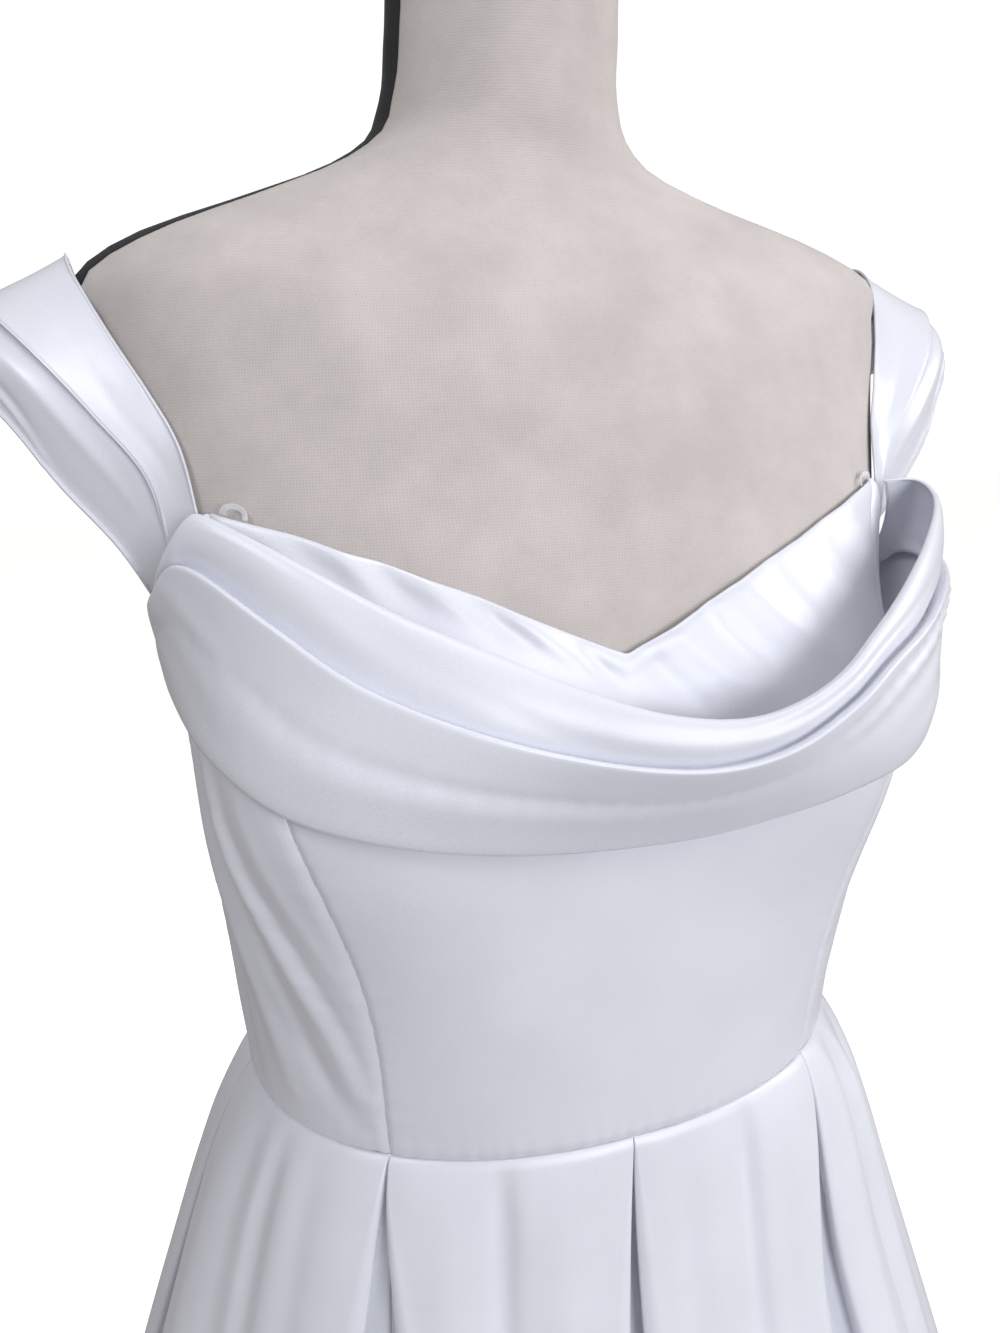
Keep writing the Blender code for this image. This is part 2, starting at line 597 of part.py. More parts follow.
def build_form(material_front, material_back, material_board):
    """Two padded halves that meet at the side plane, and the board under them."""
    inset = BODICE_WALL + FORM_CLEARANCE

    def shape_point(angle, height):
        """A point round the section, spaced as on an ellipse so that the shoulder ends stay round."""
        depth = FIGURE.at(height, "front" if abs(angle) < 90.0 else "back")
        t = math.radians(angle)
        turned = math.degrees(math.atan2(FIGURE.at(height, "half_width") * math.sin(t), depth * math.cos(t)))
        return figure_point(turned, height, -inset)

    def split_angle(height):
        """Where the section crosses the plane between the halves."""
        low, high = 30.0, 120.0
        for _ in range(40):
            middle = (low + high) / 2
            if shape_point(middle, height).y < FORM_SPLIT_Y:
                low = middle
            else:
                high = middle
        return low

    for name, material, sign in (("form_front", material_front, -1), ("form_back", material_back, 1)):
        half = bmesh.new()
        rings = []
        plane = FORM_SPLIT_Y + sign * SEAM_GAP / 2
        for height, shrink in FORM_RINGS:
            edge = split_angle(height)
            angles = spread(-edge, edge, FORM_COLUMNS) if sign < 0 else spread(edge, 360.0 - edge, FORM_COLUMNS)
            points = [shape_point(angle if angle <= 180.0 else angle - 360.0, height) for angle in angles]
            for point in points:
                point.x *= shrink
                point.y = FORM_SPLIT_Y + (point.y - FORM_SPLIT_Y) * shrink
            points[0].y = plane
            points[-1].y = plane
            rings.append([half.verts.new(point) for point in points])
        for low, high in zip(rings, rings[1:]):
            for c in range(FORM_COLUMNS - 1):
                half.faces.new((low[c], low[c + 1], high[c + 1], high[c]))
            half.faces.new((low[-1], low[0], high[0], high[-1]))
        half.faces.new(rings[0])
        half.faces.new(rings[-1])
        add_object(name, half, material, sharp_angle=50.0)

    board = bmesh.new()
    outline = [shape_point(angle, FORM_BOTTOM) * BOARD_SHARE for angle in spread(-180.0, 168.75, 32)]
    top = WAIST_HEIGHT + FORM_BOTTOM - SEAM_GAP
    face = board.faces.new([board.verts.new((p.x, p.y, top)) for p in outline])
    lower = bmesh.ops.extrude_face_region(board, geom=[face])
    moved = [item for item in lower["geom"] if isinstance(item, bmesh.types.BMVert)]
    bmesh.ops.translate(board, verts=moved, vec=(0.0, 0.0, -BOARD_THICKNESS))
    add_object("form_board", board, material_board)


def turned(name, profile, material, steps=32):
    """A solid turned about the stand's axis from (radius, height) points, low end to high end."""
    solid = bmesh.new()
    verts = [solid.verts.new((radius, 0.0, height)) for radius, height in profile]
    edges = [solid.edges.new(pair) for pair in zip(verts, verts[1:])]
    bmesh.ops.spin(solid, geom=verts + edges, cent=(0, 0, 0), axis=(0, 0, 1), angle=math.tau,
                   steps=steps, use_merge=True)
    bmesh.ops.remove_doubles(solid, verts=solid.verts, dist=1e-6)
    return add_object(name, solid, material, sharp_angle=30.0)


def build_stand(material):
    """A round base on the floor and a pole up to the board."""
    edge = 3 * MM
    turned("stand_base", [
        (0.0, 0.0),
        (BASE_RADIUS - edge, 0.0),
        (BASE_RADIUS, edge),
        (BASE_RADIUS, BASE_THICKNESS - edge),
        (BASE_RADIUS - edge, BASE_THICKNESS),
        (0.0, BASE_THICKNESS),
    ], material, steps=48)
    low = BASE_THICKNESS + SEAM_GAP
    high = WAIST_HEIGHT + FORM_BOTTOM - BOARD_THICKNESS - 2 * SEAM_GAP
    flange = 6 * MM
    turned("stand_pole", [
        (0.0, low),
        (COLLAR_RADIUS, low),
        (COLLAR_RADIUS, low + flange),
        (POLE_RADIUS, low + COLLAR_HEIGHT),
        (POLE_RADIUS, high - COLLAR_HEIGHT),
        (COLLAR_RADIUS, high - flange),
        (COLLAR_RADIUS, high),
        (0.0, high),
    ], material, steps=24)


def add_box(builder, low, high):
    """A box between two corners."""
    made = bmesh.ops.create_cube(builder, size=1.0)
    size = Vector(high) - Vector(low)
    middle = (Vector(high) + Vector(low)) / 2
    bmesh.ops.scale(builder, vec=size, verts=made["verts"])
    bmesh.ops.translate(builder, vec=middle, verts=made["verts"])
    return made["verts"]


def build_zip(cloth, metal):
    """A concealed zip down the centre back: chain, slider with its bail, and the hanging pull."""
    half = ZIP_HALF_WIDTH - SEAM_GAP

    def back_radius(height):
        return figure_radius(180.0, height) if height > 0 else skirt_radius(180.0, height)

    heights = [top_edge(180.0) - ZIP_TOP_DROP, *ZIP_ROWS, ZIP_END + 2 * SEAM_GAP]
    grids = [[[Vector((x, back_radius(h) - depth, WAIST_HEIGHT + h)) for x in (half, 0.0, -half)]
              for h in heights] for depth in (SEAM_GAP, BODICE_WALL)]
    add_object("zip_chain", close_wall(*grids), cloth)

    slider_top = heights[0] - 2 * MM
    reach = [back_radius(h) for h in spread(slider_top - SLIDER_LENGTH, heights[0], 5)]
    face = max(reach) + 2 * SEAM_GAP
    rod_y = face + SLIDER_DEPTH + RING_RADIUS + SEAM_GAP
    rod_z = WAIST_HEIGHT + slider_top - SLIDER_LENGTH * ROD_PLACE
    lug_inside = PULL_WIDTH / 2 + SEAM_GAP
    lug_outside = SLIDER_WIDTH / 2 - SEAM_GAP

    slider = bmesh.new()
    add_box(slider, (-SLIDER_WIDTH / 2, face, WAIST_HEIGHT + slider_top - SLIDER_LENGTH),
            (SLIDER_WIDTH / 2, face + SLIDER_DEPTH, WAIST_HEIGHT + slider_top))
    body = add_object("zip_slider", slider, metal)
    for sign in (-1, 1):
        lug = bmesh.new()
        low, high = sorted((sign * lug_inside, sign * lug_outside))
        add_box(lug, (low, face + SLIDER_DEPTH / 2, rod_z - 2 * ROD_RADIUS),
                (high, rod_y + 2 * ROD_RADIUS, rod_z + 2 * ROD_RADIUS))
        join(body, add_object("zip_lug", lug, metal))
    rod = bmesh.new()
    bmesh.ops.create_cone(rod, cap_ends=True, segments=10, radius1=ROD_RADIUS, radius2=ROD_RADIUS,
                          depth=lug_inside + lug_outside)
    bmesh.ops.rotate(rod, verts=rod.verts, matrix=Matrix.Rotation(math.pi / 2, 3, "Y"))
    bmesh.ops.translate(rod, verts=rod.verts, vec=(0.0, rod_y, rod_z))
    join(body, add_object("zip_rod", rod, metal))

    pull = bmesh.new()
    ring_steps = 12
    rings = []
    for i in range(ring_steps):
        t = math.tau * (i + 0.5) / ring_steps
        ring = []
        for x in (-PULL_WIDTH / 2, PULL_WIDTH / 2):
            for radius in (RING_BORE, RING_RADIUS):
                ring.append(pull.verts.new((x, radius * math.sin(t), -radius * math.cos(t))))
        rings.append(ring)
    tail = None
    for i, ring in enumerate(rings):
        after = rings[(i + 1) % ring_steps]
        for a, b in ((0, 2), (1, 0), (3, 1), (2, 3)):
            face_made = pull.faces.new((ring[a], ring[b], after[b], after[a]))
            if i == ring_steps - 1 and (a, b) == (3, 1):
                tail = face_made
    for share, width, thickness in PULL_OUTLINE:
        made = bmesh.ops.extrude_face_region(pull, geom=[tail])
        verts = [item for item in made["geom"] if isinstance(item, bmesh.types.BMVert)]
        bmesh.ops.delete(pull, geom=[tail], context="FACES_ONLY")
        tail = next(item for item in made["geom"] if isinstance(item, bmesh.types.BMFace))
        for vert in verts:
            vert.co.x = math.copysign(width / 2, vert.co.x)
            vert.co.y = math.copysign(thickness / 2, vert.co.y)
            vert.co.z = -RING_RADIUS - share * (PULL_LENGTH - RING_RADIUS)
    tab = add_object("zip_pull", pull, metal)
    tab.location = (0.0, rod_y, rod_z)


def join(body, extra):
    """Unions an extra piece into a body."""
    union = body.modifiers.new("join " + extra.name, "BOOLEAN")
    union.operation = "UNION"
    union.solver = "EXACT"
    union.object = extra
    extra.hide_render = True
    extra.display_type = "WIRE"


def build_hanger_loops(ribbon):
    """A tiny ribbon loop inside the neckline beside each strap."""
    for side, sign in (("left", 1), ("right", -1)):
        steps = 8
        grids = []
        for depth in (0.0, LOOP_THICKNESS):
            rows = []
            for radius in (LOOP_RADIUS, LOOP_RADIUS - LOOP_WIDTH):
                row = []
                for i in range(steps + 1):
                    t = math.pi * i / steps
                    around = math.degrees(radius * math.cos(t) / figure_radius(LOOP_ANGLE, LOOP_HEIGHT))
                    angle = LOOP_ANGLE + around
                    height = top_edge(angle) + SEAM_GAP + radius * math.sin(t)
                    row.append(figure_point(sign * angle, height, -LOOP_INSET - depth))
                rows.append(row)
            grids.append(rows)
        add_object("hanger_loop_" + side, close_wall(*grids), ribbon)


def main():
    for obj in list(bpy.data.objects):
        bpy.data.objects.remove(obj, do_unlink=True)
    satin = make_material("white satin", (0.86, 0.87, 0.90), 0.35)
    linen = make_material("greige linen", (0.62, 0.57, 0.53), 0.90)
    black_cloth = make_material("black jersey", (0.015, 0.015, 0.017), 0.85)
    steel = make_material("black painted steel", (0.02, 0.02, 0.02), 0.40, 0.3)
    ribbon = make_material("clear ribbon", (0.80, 0.82, 0.86), 0.30)
    metal = make_material("white lacquered zip metal", (0.85, 0.85, 0.86), 0.30, 0.2)
    build_bodice(satin)
    build_drape(satin)
    for side, sign in (("left", 1), ("right", -1)):
        build_strap(side, sign, satin)
    build_skirt(satin)
    build_hanger_loops(ribbon)
    build_zip(satin, metal)
    build_form(linen, black_cloth, steel)
    build_stand(steel)


main()
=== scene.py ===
"""Looks of an off-shoulder satin dress on a limbless dress form.

Metres, +Z up.  The wearer's left is +X and the front is -Y.  Heights in the tables are above the waist seam,
and angles are degrees round the body from the centre front, positive toward the wearer's left.
Every cloth piece is a thin shell, made from a grid whose corners are moved onto the cut piece's worn form.
"""
import math

import bmesh
import bpy
import numpy as np
from mathutils import Matrix, Vector, noise


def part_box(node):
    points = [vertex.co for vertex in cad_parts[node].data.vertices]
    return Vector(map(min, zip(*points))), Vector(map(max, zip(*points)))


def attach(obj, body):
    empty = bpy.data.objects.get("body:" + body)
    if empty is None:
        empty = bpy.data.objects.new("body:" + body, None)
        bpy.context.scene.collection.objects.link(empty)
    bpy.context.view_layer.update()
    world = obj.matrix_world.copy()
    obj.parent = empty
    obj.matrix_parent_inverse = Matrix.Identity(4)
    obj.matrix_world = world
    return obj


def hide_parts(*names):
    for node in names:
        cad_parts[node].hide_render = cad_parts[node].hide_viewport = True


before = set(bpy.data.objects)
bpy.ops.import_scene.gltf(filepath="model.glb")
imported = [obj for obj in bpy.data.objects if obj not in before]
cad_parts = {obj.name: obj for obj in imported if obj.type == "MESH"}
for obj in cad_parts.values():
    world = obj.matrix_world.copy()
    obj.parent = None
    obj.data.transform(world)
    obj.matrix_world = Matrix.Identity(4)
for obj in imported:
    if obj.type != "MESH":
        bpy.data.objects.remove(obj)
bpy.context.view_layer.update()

bl_info = {
    "name": "Off-shoulder satin dress",
    "version": (1, 0, 0),
    "blender": (4, 5, 0),
    "location": "3D View > Sidebar > Dress",
    "description": "Dresses the packed form with satin pieces, a linen and jersey dress form, and a studio",
    "category": "Object",
}

MM = 0.001
ROOT = "dress"

# Heights of the main lines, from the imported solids
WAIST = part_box("bodice_front")[0].z
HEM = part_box("skirt_front")[0].z - WAIST
NECK_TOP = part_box("form_front")[1].z - WAIST
FORM_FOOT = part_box("form_front")[0].z - WAIST

# Gap at the seams, how far the form lies inside the cloth and where it splits, and the zip's half width and
# lower end, as a height from the waist seam
SEAM_GAP = 0.3 * MM
FORM_INSET = 3.8 * MM
FORM_SPLIT_Y = -1.0 * MM
ZIP_HALF_WIDTH = 1.5 * MM
ZIP_END = -0.120

# Where the seams run round the body
JUNCTION_ANGLE = 66.5
SIDE_SEAM = 95.0
BACK_SEAM = 138.0
PLEAT_ANGLE = 47.8
BACK_PLEAT = 132.2

# Fullness of the bust: where it is, how far it spreads and rises, and how far it stands out
BUST_ANGLE = 46.0
BUST_SPREAD = 22.0
BUST_HEIGHT = 0.148
BUST_RISE = 0.050
BUST_FULLNESS = 14 * MM


class Table:
    """Rows of named columns, read smoothly between the rows by the first column."""

    SAMPLES = 1201

    def __init__(self, names, rows):
        self.names = names.split()
        self.rows = rows
        self.columns = {name: np.array([row[i] for row in rows], float) for i, name in enumerate(self.names)}
        keys = self.columns[self.names[0]]
        self.places = np.linspace(keys[0], keys[-1], self.SAMPLES)
        self.curves = {name: smooth_curve(keys, values, self.places) for name, values in self.columns.items()}

    def at(self, key, name):
        return np.interp(key, self.places, self.curves[name])


def smooth_curve(keys, values, places):
    """A smooth curve through (keys, values) at many places, with the same slopes as the solids' curves."""
    slopes = np.empty(len(keys))
    steps = np.diff(keys)
    rises = np.diff(values) / steps
    slopes[0] = rises[0]
    slopes[-1] = rises[-1]
    slopes[1:-1] = (rises[:-1] * steps[1:] + rises[1:] * steps[:-1]) / (steps[1:] + steps[:-1])
    low = np.clip(np.searchsorted(keys, places, side="right") - 1, 0, len(keys) - 2)
    step = steps[low]
    t = (places - keys[low]) / step
    start = values[low] * (1 + 2 * t) * (1 - t) ** 2 + slopes[low] * step * t * (1 - t) ** 2
    end = values[low + 1] * t * t * (3 - 2 * t) + slopes[low + 1] * step * t * t * (t - 1)
    return start + end


# The figure that the dress is cut for
FIGURE = Table("height lean middle half_width front back power", [
    (-0.240, 0.000, 0.000, 0.160, 0.108, 0.118, 2.2),
    (-0.170, 0.000, 0.000, 0.162, 0.107, 0.122, 2.2),
    (-0.100, 0.000, 0.000, 0.152, 0.101, 0.112, 2.2),
    (-0.050, 0.000, 0.000, 0.142, 0.101, 0.098, 2.2),
    (0.000, 0.000, 0.000, 0.137, 0.1075, 0.092, 2.2),
    (0.040, 0.000, 0.000, 0.1385, 0.109, 0.094, 2.35),
    (0.080, 0.000, 0.000, 0.1415, 0.1105, 0.097, 2.65),
    (0.120, 0.000, 0.000, 0.144, 0.111, 0.100, 2.9),
    (0.160, 0.000, 0.000, 0.1465, 0.108, 0.103, 2.9),
    (0.200, 0.000, 0.001, 0.153, 0.102, 0.106, 2.6),
    (0.240, 0.000, 0.003, 0.163, 0.094, 0.105, 2.35),
    (0.280, 0.000, 0.006, 0.168, 0.086, 0.100, 2.2),
    (0.310, 0.000, 0.010, 0.172, 0.079, 0.092, 2.2),
    (0.330, -0.001, 0.014, 0.174, 0.071, 0.080, 2.2),
    (0.345, -0.005, 0.017, 0.148, 0.063, 0.070, 2.2),
    (0.358, -0.008, 0.018, 0.108, 0.057, 0.061, 2.2),
    (0.370, -0.007, 0.017, 0.076, 0.052, 0.055, 2.1),
    (0.381, -0.004, 0.015, 0.060, 0.050, 0.051, 2.0),
    (0.396, -0.003, 0.013, 0.053, 0.049, 0.050, 2.0),
    (0.420, -0.001, 0.013, 0.0510, 0.0495, 0.0495, 2.0),
    (0.468, 0.001, 0.013, 0.050, 0.0495, 0.0495, 2.0),
])

# Princess seam and the bodice's top edge
PRINCESS = Table("height angle", [
    (0.000, 47.8),
    (0.090, 47.4),
    (0.125, 49.0),
    (0.150, 52.0),
    (0.200, 59.0),
    (0.2462, JUNCTION_ANGLE),
])
NECKLINE = Table("angle height", [
    (0.0, 0.1925),
    (8.0, 0.1985),
    (24.0, 0.2125),
    (42.0, 0.2278),
    (58.0, 0.2405),
    (JUNCTION_ANGLE, 0.2462),
])
ARMHOLE = Table("angle height", [
    (JUNCTION_ANGLE, 0.2462),
    (72.0, 0.2300),
    (80.0, 0.2100),
    (88.0, 0.1985),
    (SIDE_SEAM, 0.1960),
    (115.0, 0.1965),
    (BACK_SEAM, 0.1935),
    (180.0, 0.1860),
])

# The cowl drape, from the right armhole round the front to the left one
DRAPE = Table(
    "station top_angle top_height top_out ridge_angle ridge_height ridge_out low_angle low_height low_out", [
        (0, -67.2, 0.2440, 0.0040, -80.0, 0.2040, 0.0042, -94.0, 0.1840, 0.0040),
        (1, -65.3, 0.2456, 0.0042, -73.0, 0.2175, 0.0055, -84.0, 0.1800, 0.0045),
        (2, -60.1, 0.2400, 0.0050, -66.5, 0.2275, 0.0070, -73.6, 0.1734, 0.0050),
        (3, -48.2, 0.2254, 0.0075, -54.0, 0.2110, 0.0105, -60.0, 0.1608, 0.0050),
        (4, -38.1, 0.2136, 0.0105, -41.0, 0.1918, 0.0145, -46.9, 0.1472, 0.0050),
        (5, -23.8, 0.1993, 0.0150, -26.0, 0.1760, 0.0195, -29.0, 0.1340, 0.0055),
        (6, -12.0, 0.1876, 0.0190, -13.0, 0.1660, 0.0230, -15.0, 0.1286, 0.0065),
        (7, 0.0, 0.1780, 0.0245, 0.0, 0.1600, 0.0275, 0.0, 0.1266, 0.0080),
        (8, 10.9, 0.1743, 0.0280, 10.0, 0.1592, 0.0300, 12.7, 0.1274, 0.0085),
        (9, 18.6, 0.1773, 0.0300, 18.5, 0.1642, 0.0315, 25.8, 0.1318, 0.0095),
        (10, 26.1, 0.1851, 0.0305, 27.0, 0.1745, 0.0315, 36.0, 0.1375, 0.0100),
        (11, 34.0, 0.1976, 0.0300, 36.0, 0.1870, 0.0305, 46.0, 0.1430, 0.0100),
        (12, 45.0, 0.2130, 0.0290, 48.0, 0.1970, 0.0280, 56.0, 0.1520, 0.0095),
        (13, 57.3, 0.2290, 0.0270, 60.0, 0.2060, 0.0260, 66.0, 0.1630, 0.0090),
        (14, 66.0, 0.2390, 0.0230, 70.0, 0.2120, 0.0210, 76.0, 0.1740, 0.0080),
        (15, 69.8, 0.2440, 0.0150, 76.5, 0.2120, 0.0140, 86.0, 0.1820, 0.0060),
        (16, 67.8, 0.2440, 0.0030, 80.0, 0.2050, 0.0030, 94.0, 0.1850, 0.0030),
    ])
RIDGE_PLACE = 0.42
# One station of the band, as a share of its width
DRAPE_STATION_SHARE = 0.43
DRAPE_GRID = (150, 64)
# How much of its fold a band keeps at its ends
DRAPE_END_SHARE = 0.35
# Walking down the band: the place across it that the cloth has reached, and how far it stands out.
# Where the place turns back, the lower band is folded over the upper one.
DRAPE_PATH = Table("walk across stand", [
    (0.00, 0.006, -0.7 * MM),
    (0.02, 0.000, 0.1 * MM),
    (0.05, 0.016, 1.4 * MM),
    (0.10, 0.060, 2.1 * MM),
    (0.18, 0.145, 1.9 * MM),
    (0.27, 0.250, 0.7 * MM),
    (0.35, 0.350, -1.4 * MM),
    (0.42, 0.428, -3.3 * MM),
    (0.452, 0.432, -2.4 * MM),
    (0.475, 0.408, -0.4 * MM),
    (0.490, 0.398, 1.2 * MM),
    (0.505, 0.402, 2.2 * MM),
    (0.525, 0.416, 2.4 * MM),
    (0.57, 0.455, 1.9 * MM),
    (0.64, 0.530, 0.9 * MM),
    (0.74, 0.640, 0.1 * MM),
    (0.90, 0.870, 0.5 * MM),
    (0.97, 0.990, 0.1 * MM),
    (1.00, 0.995, -1.0 * MM),
])
# Creases: (station, across) of the start, middle and end, half width across, stand in millimetres
DRAPE_CREASES = [
    ((1.0, 0.66), (5.5, 0.70), (9.5, 0.62), 0.035, -0.9),
    ((1.0, 0.75), (5.5, 0.79), (9.0, 0.72), 0.05, 0.6),
    ((9.5, 0.56), (11.5, 0.50), (14.6, 0.30), 0.035, -1.2),
    ((10.0, 0.68), (12.2, 0.58), (14.8, 0.42), 0.035, -1.1),
    ((9.8, 0.62), (12.0, 0.53), (14.6, 0.35), 0.025, 1.0),
    ((10.6, 0.80), (12.6, 0.70), (15.0, 0.52), 0.045, -0.9),
    ((8.4, 0.16), (10.4, 0.22), (13.0, 0.22), 0.05, -0.8),
    ((0.7, 0.20), (1.0, 0.32), (1.6, 0.40), 0.05, -0.8),
    ((0.6, 0.55), (1.5, 0.72), (3.0, 0.90), 0.06, -0.8),
    ((1.4, 0.48), (2.2, 0.62), (3.4, 0.74), 0.05, 0.6),
    ((3.6, 0.12), (5.0, 0.26), (6.8, 0.34), 0.06, -0.5),
]

# One strap, from the front of the armhole over the shoulder to its back, for the wearer's left
STRAP = Table("station inner_x inner_y inner_z crest_x crest_y crest_z outer_x outer_y outer_z", [
    (1, 0.1415, -0.0460, 0.2670, 0.1550, -0.0410, 0.2530, 0.1640, -0.0310, 0.2330),
    (2, 0.1500, -0.0350, 0.2860, 0.1720, -0.0370, 0.2760, 0.1815, -0.0290, 0.2565),
    (3, 0.1610, -0.0200, 0.3070, 0.1890, -0.0270, 0.2960, 0.1965, -0.0200, 0.2785),
    (4, 0.1715, -0.0010, 0.3295, 0.2050, -0.0060, 0.3110, 0.2100, -0.0060, 0.2920),
    (5, 0.1735, 0.0170, 0.3385, 0.2130, 0.0180, 0.3150, 0.2145, 0.0200, 0.2960),
    (6, 0.1720, 0.0400, 0.3310, 0.2040, 0.0440, 0.3080, 0.2030, 0.0450, 0.2900),
    (7, 0.1640, 0.0620, 0.3090, 0.1860, 0.0630, 0.2880, 0.1840, 0.0610, 0.2710),
    (8, 0.1500, 0.0800, 0.2700, 0.1640, 0.0720, 0.2490, 0.1640, 0.0600, 0.2310),
])
STRAP_STATION_SHARE = 0.55
STRAP_GRID = (110, 60)
STRAP_END_SHARE = 0.15
STRAP_SLACK = 0.35 * MM
STRAP_FRONT_ANGLES = (67.3, 80.0)
STRAP_BACK_ANGLES = (128.0, 104.0)
STRAP_PATH = Table("walk across stand", [
    (0.00, 0.000, -0.6 * MM),
    (0.017, 0.003, -0.1 * MM),
    (0.035, 0.012, 0.1 * MM),
    (0.08, 0.050, 0.2 * MM),
    (0.22, 0.190, 0.2 * MM),
    (0.33, 0.320, -0.4 * MM),
    (0.40, 0.395, -1.1 * MM),
    (0.43, 0.393, -0.7 * MM),
    (0.455, 0.362, 0.6 * MM),
    (0.47, 0.354, 1.3 * MM),
    (0.49, 0.362, 1.7 * MM),
    (0.58, 0.470, 1.1 * MM),
    (0.76, 0.710, 0.3 * MM),
    (0.88, 0.870, 0.2 * MM),
    (0.95, 0.960, 0.3 * MM),
    (0.985, 1.000, 0.0 * MM),
    (1.00, 1.000, -0.8 * MM),
])
# Columns as in the drape's creases
STRAP_CREASES = [
    ((1.0, 0.66), (2.0, 0.60), (3.4, 0.56), 0.06, -0.6),
    ((0.8, 0.20), (1.7, 0.26), (3.2, 0.20), 0.06, 0.6),
    ((2.3, 0.97), (3.2, 0.84), (5.0, 0.74), 0.035, -1.6),
    ((2.6, 0.88), (3.5, 0.76), (5.0, 0.66), 0.05, 0.8),
    ((4.8, 0.64), (6.2, 0.60), (7.8, 0.52), 0.06, -0.7),
    ((5.4, 0.18), (6.6, 0.24), (8.0, 0.22), 0.06, -0.5),
]

# The skirt without its pleats
SKIRT = Table("height half_width front back power", [
    (-1.038, 0.424, 0.370, 0.422, 2.1),
    (-0.800, 0.370, 0.314, 0.364, 2.2),
    (-0.600, 0.322, 0.262, 0.312, 2.25),
    (-0.400, 0.274, 0.206, 0.256, 2.3),
    (-0.250, 0.232, 0.158, 0.204, 2.35),
    (-0.160, 0.202, 0.132, 0.170, 2.4),
    (-0.100, 0.1805, 0.1185, 0.145, 2.45),
    (-0.060, 0.1665, 0.1135, 0.126, 2.45),
    (-0.030, 0.1545, 0.1105, 0.110, 2.4),
    (-0.010, 0.1440, 0.1085, 0.098, 2.3),
    (0.000, 0.137, 0.1075, 0.092, 2.2),
])
PLEATS = Table("angle opening lean", [
    (-132.2, 0.9, 0.0),
    (-90.0, 0.7, 0.0),
    (-PLEAT_ANGLE, 1.0, 1.5),
    (0.0, 0.4, -1.0),
    (PLEAT_ANGLE, 0.6, -4.0),
    (90.0, 0.8, 0.0),
    (132.2, 0.9, 0.0),
])
PLEAT_GROWTH = Table("drop opening depth tuck softness lean", [
    (0.000, 0.0004, 0.0006, 0.0000, 0.000, 0.0),
    (0.012, 0.0009, 0.0040, 0.0000, 0.000, 0.2),
    (0.035, 0.0026, 0.0070, 0.0020, 0.000, 0.6),
    (0.070, 0.0060, 0.0095, 0.0050, 0.000, 0.9),
    (0.120, 0.0105, 0.0120, 0.0060, 0.002, 1.0),
    (0.210, 0.0165, 0.0150, 0.0055, 0.004, 1.0),
    (0.310, 0.0220, 0.0180, 0.0040, 0.008, 0.9),
    (0.460, 0.0280, 0.0220, 0.0020, 0.010, 0.7),
    (0.650, 0.0320, 0.0260, 0.0000, 0.012, 0.5),
    (0.850, 0.0350, 0.0290, 0.0000, 0.015, 0.3),
    (1.038, 0.0370, 0.0310, 0.0000, 0.018, 0.2),
])
# Half of a folded pleat, from the middle of its underlay out to the flat panel: shares of the opening, tuck
# and softness, how many fold rounds it adds, and its share of the depth
PLEAT_HALF = (
    (0.0, 0.0, 0.0, 0.0, 1.00),
    (0.7, 0.6, 0.0, 0.0, 1.00),
    (1.0, 1.0, 0.0, 0.0, 0.88),
    (1.0, 0.6, 0.3, 0.0, 0.68),
    (1.0, 0.0, 0.6, 0.0, 0.26),
    (1.0, 0.3, 1.0, 1.0, 0.03),
    (1.2, 1.2, 1.7, 2.0, 0.00),
)
# How round a pleat's folds are, once the pleat has the full depth
FOLD_ROUND = 1.5 * MM
FULL_DEPTH = 6.0 * MM
# Soft unpressed pleats between the folded ones
SOFT_PLEATS = (-156.0, -111.0, -68.0, -27.0, 27.0, 68.0, 111.0, 156.0)
CREASE_SPREAD = 2.6
WAVE_SPREAD = 9.0
SOFT_CREASE = Table("drop crease wave", [
    (0.000, 0.0000, 0.000),
    (0.020, 0.0030, 0.000),
    (0.060, 0.0032, 0.001),
    (0.130, 0.0020, 0.003),
    (0.300, 0.0010, 0.008),
    (1.038, 0.0000, 0.022),
])
# Small hanging folds of the skirt: angle, drop where each has faded in and out, half width in degrees,
# stand in millimetres
SKIRT_FOLDS = [
    (-61.0, 0.03, 0.55, 2.4, -1.6),
    (-75.0, 0.02, 0.60, 3.0, -2.4),
    (-82.0, 0.05, 0.80, 2.6, 1.6),
    (-104.0, 0.04, 0.60, 3.0, -2.0),
    (-121.0, 0.06, 0.70, 3.2, 1.8),
    (-145.0, 0.03, 0.60, 3.0, -2.0),
    (-167.0, 0.05, 0.70, 3.4, -1.8),
    (-37.0, 0.05, 0.50, 3.4, 0.9),
    (-17.0, 0.06, 0.60, 3.6, 0.8),
    (12.0, 0.03, 0.60, 3.0, -1.2),
    (35.0, 0.04, 0.55, 3.0, -1.0),
    (52.5, 0.02, 0.75, 1.5, 2.2),
    (57.0, 0.02, 0.75, 1.6, -3.2),
    (62.0, 0.03, 0.80, 1.8, 2.6),
    (66.0, 0.03, 0.70, 1.6, -1.6),
    (77.0, 0.03, 0.60, 2.8, -2.0),
    (102.0, 0.04, 0.60, 3.0, -2.0),
    (122.0, 0.06, 0.70, 3.2, 1.6),
    (147.0, 0.03, 0.60, 3.0, -1.8),
    (166.0, 0.05, 0.70, 3.4, -1.8),
]
# How long a fold takes to fade out, and how it wanders to the side in degrees on its way down
FOLD_FADE = 0.3
FOLD_WANDER = 1.2
FOLD_WAVES = 9.0
# The skirt's uneven stand and the drop over which it sets in, and how closely its rows crowd at the waist
SKIRT_SLACK = 0.8 * MM
SKIRT_SLACK_FROM = 0.1
ROW_CROWDING = 1.7
WAIST_DIP_REACH = 1.6 * MM
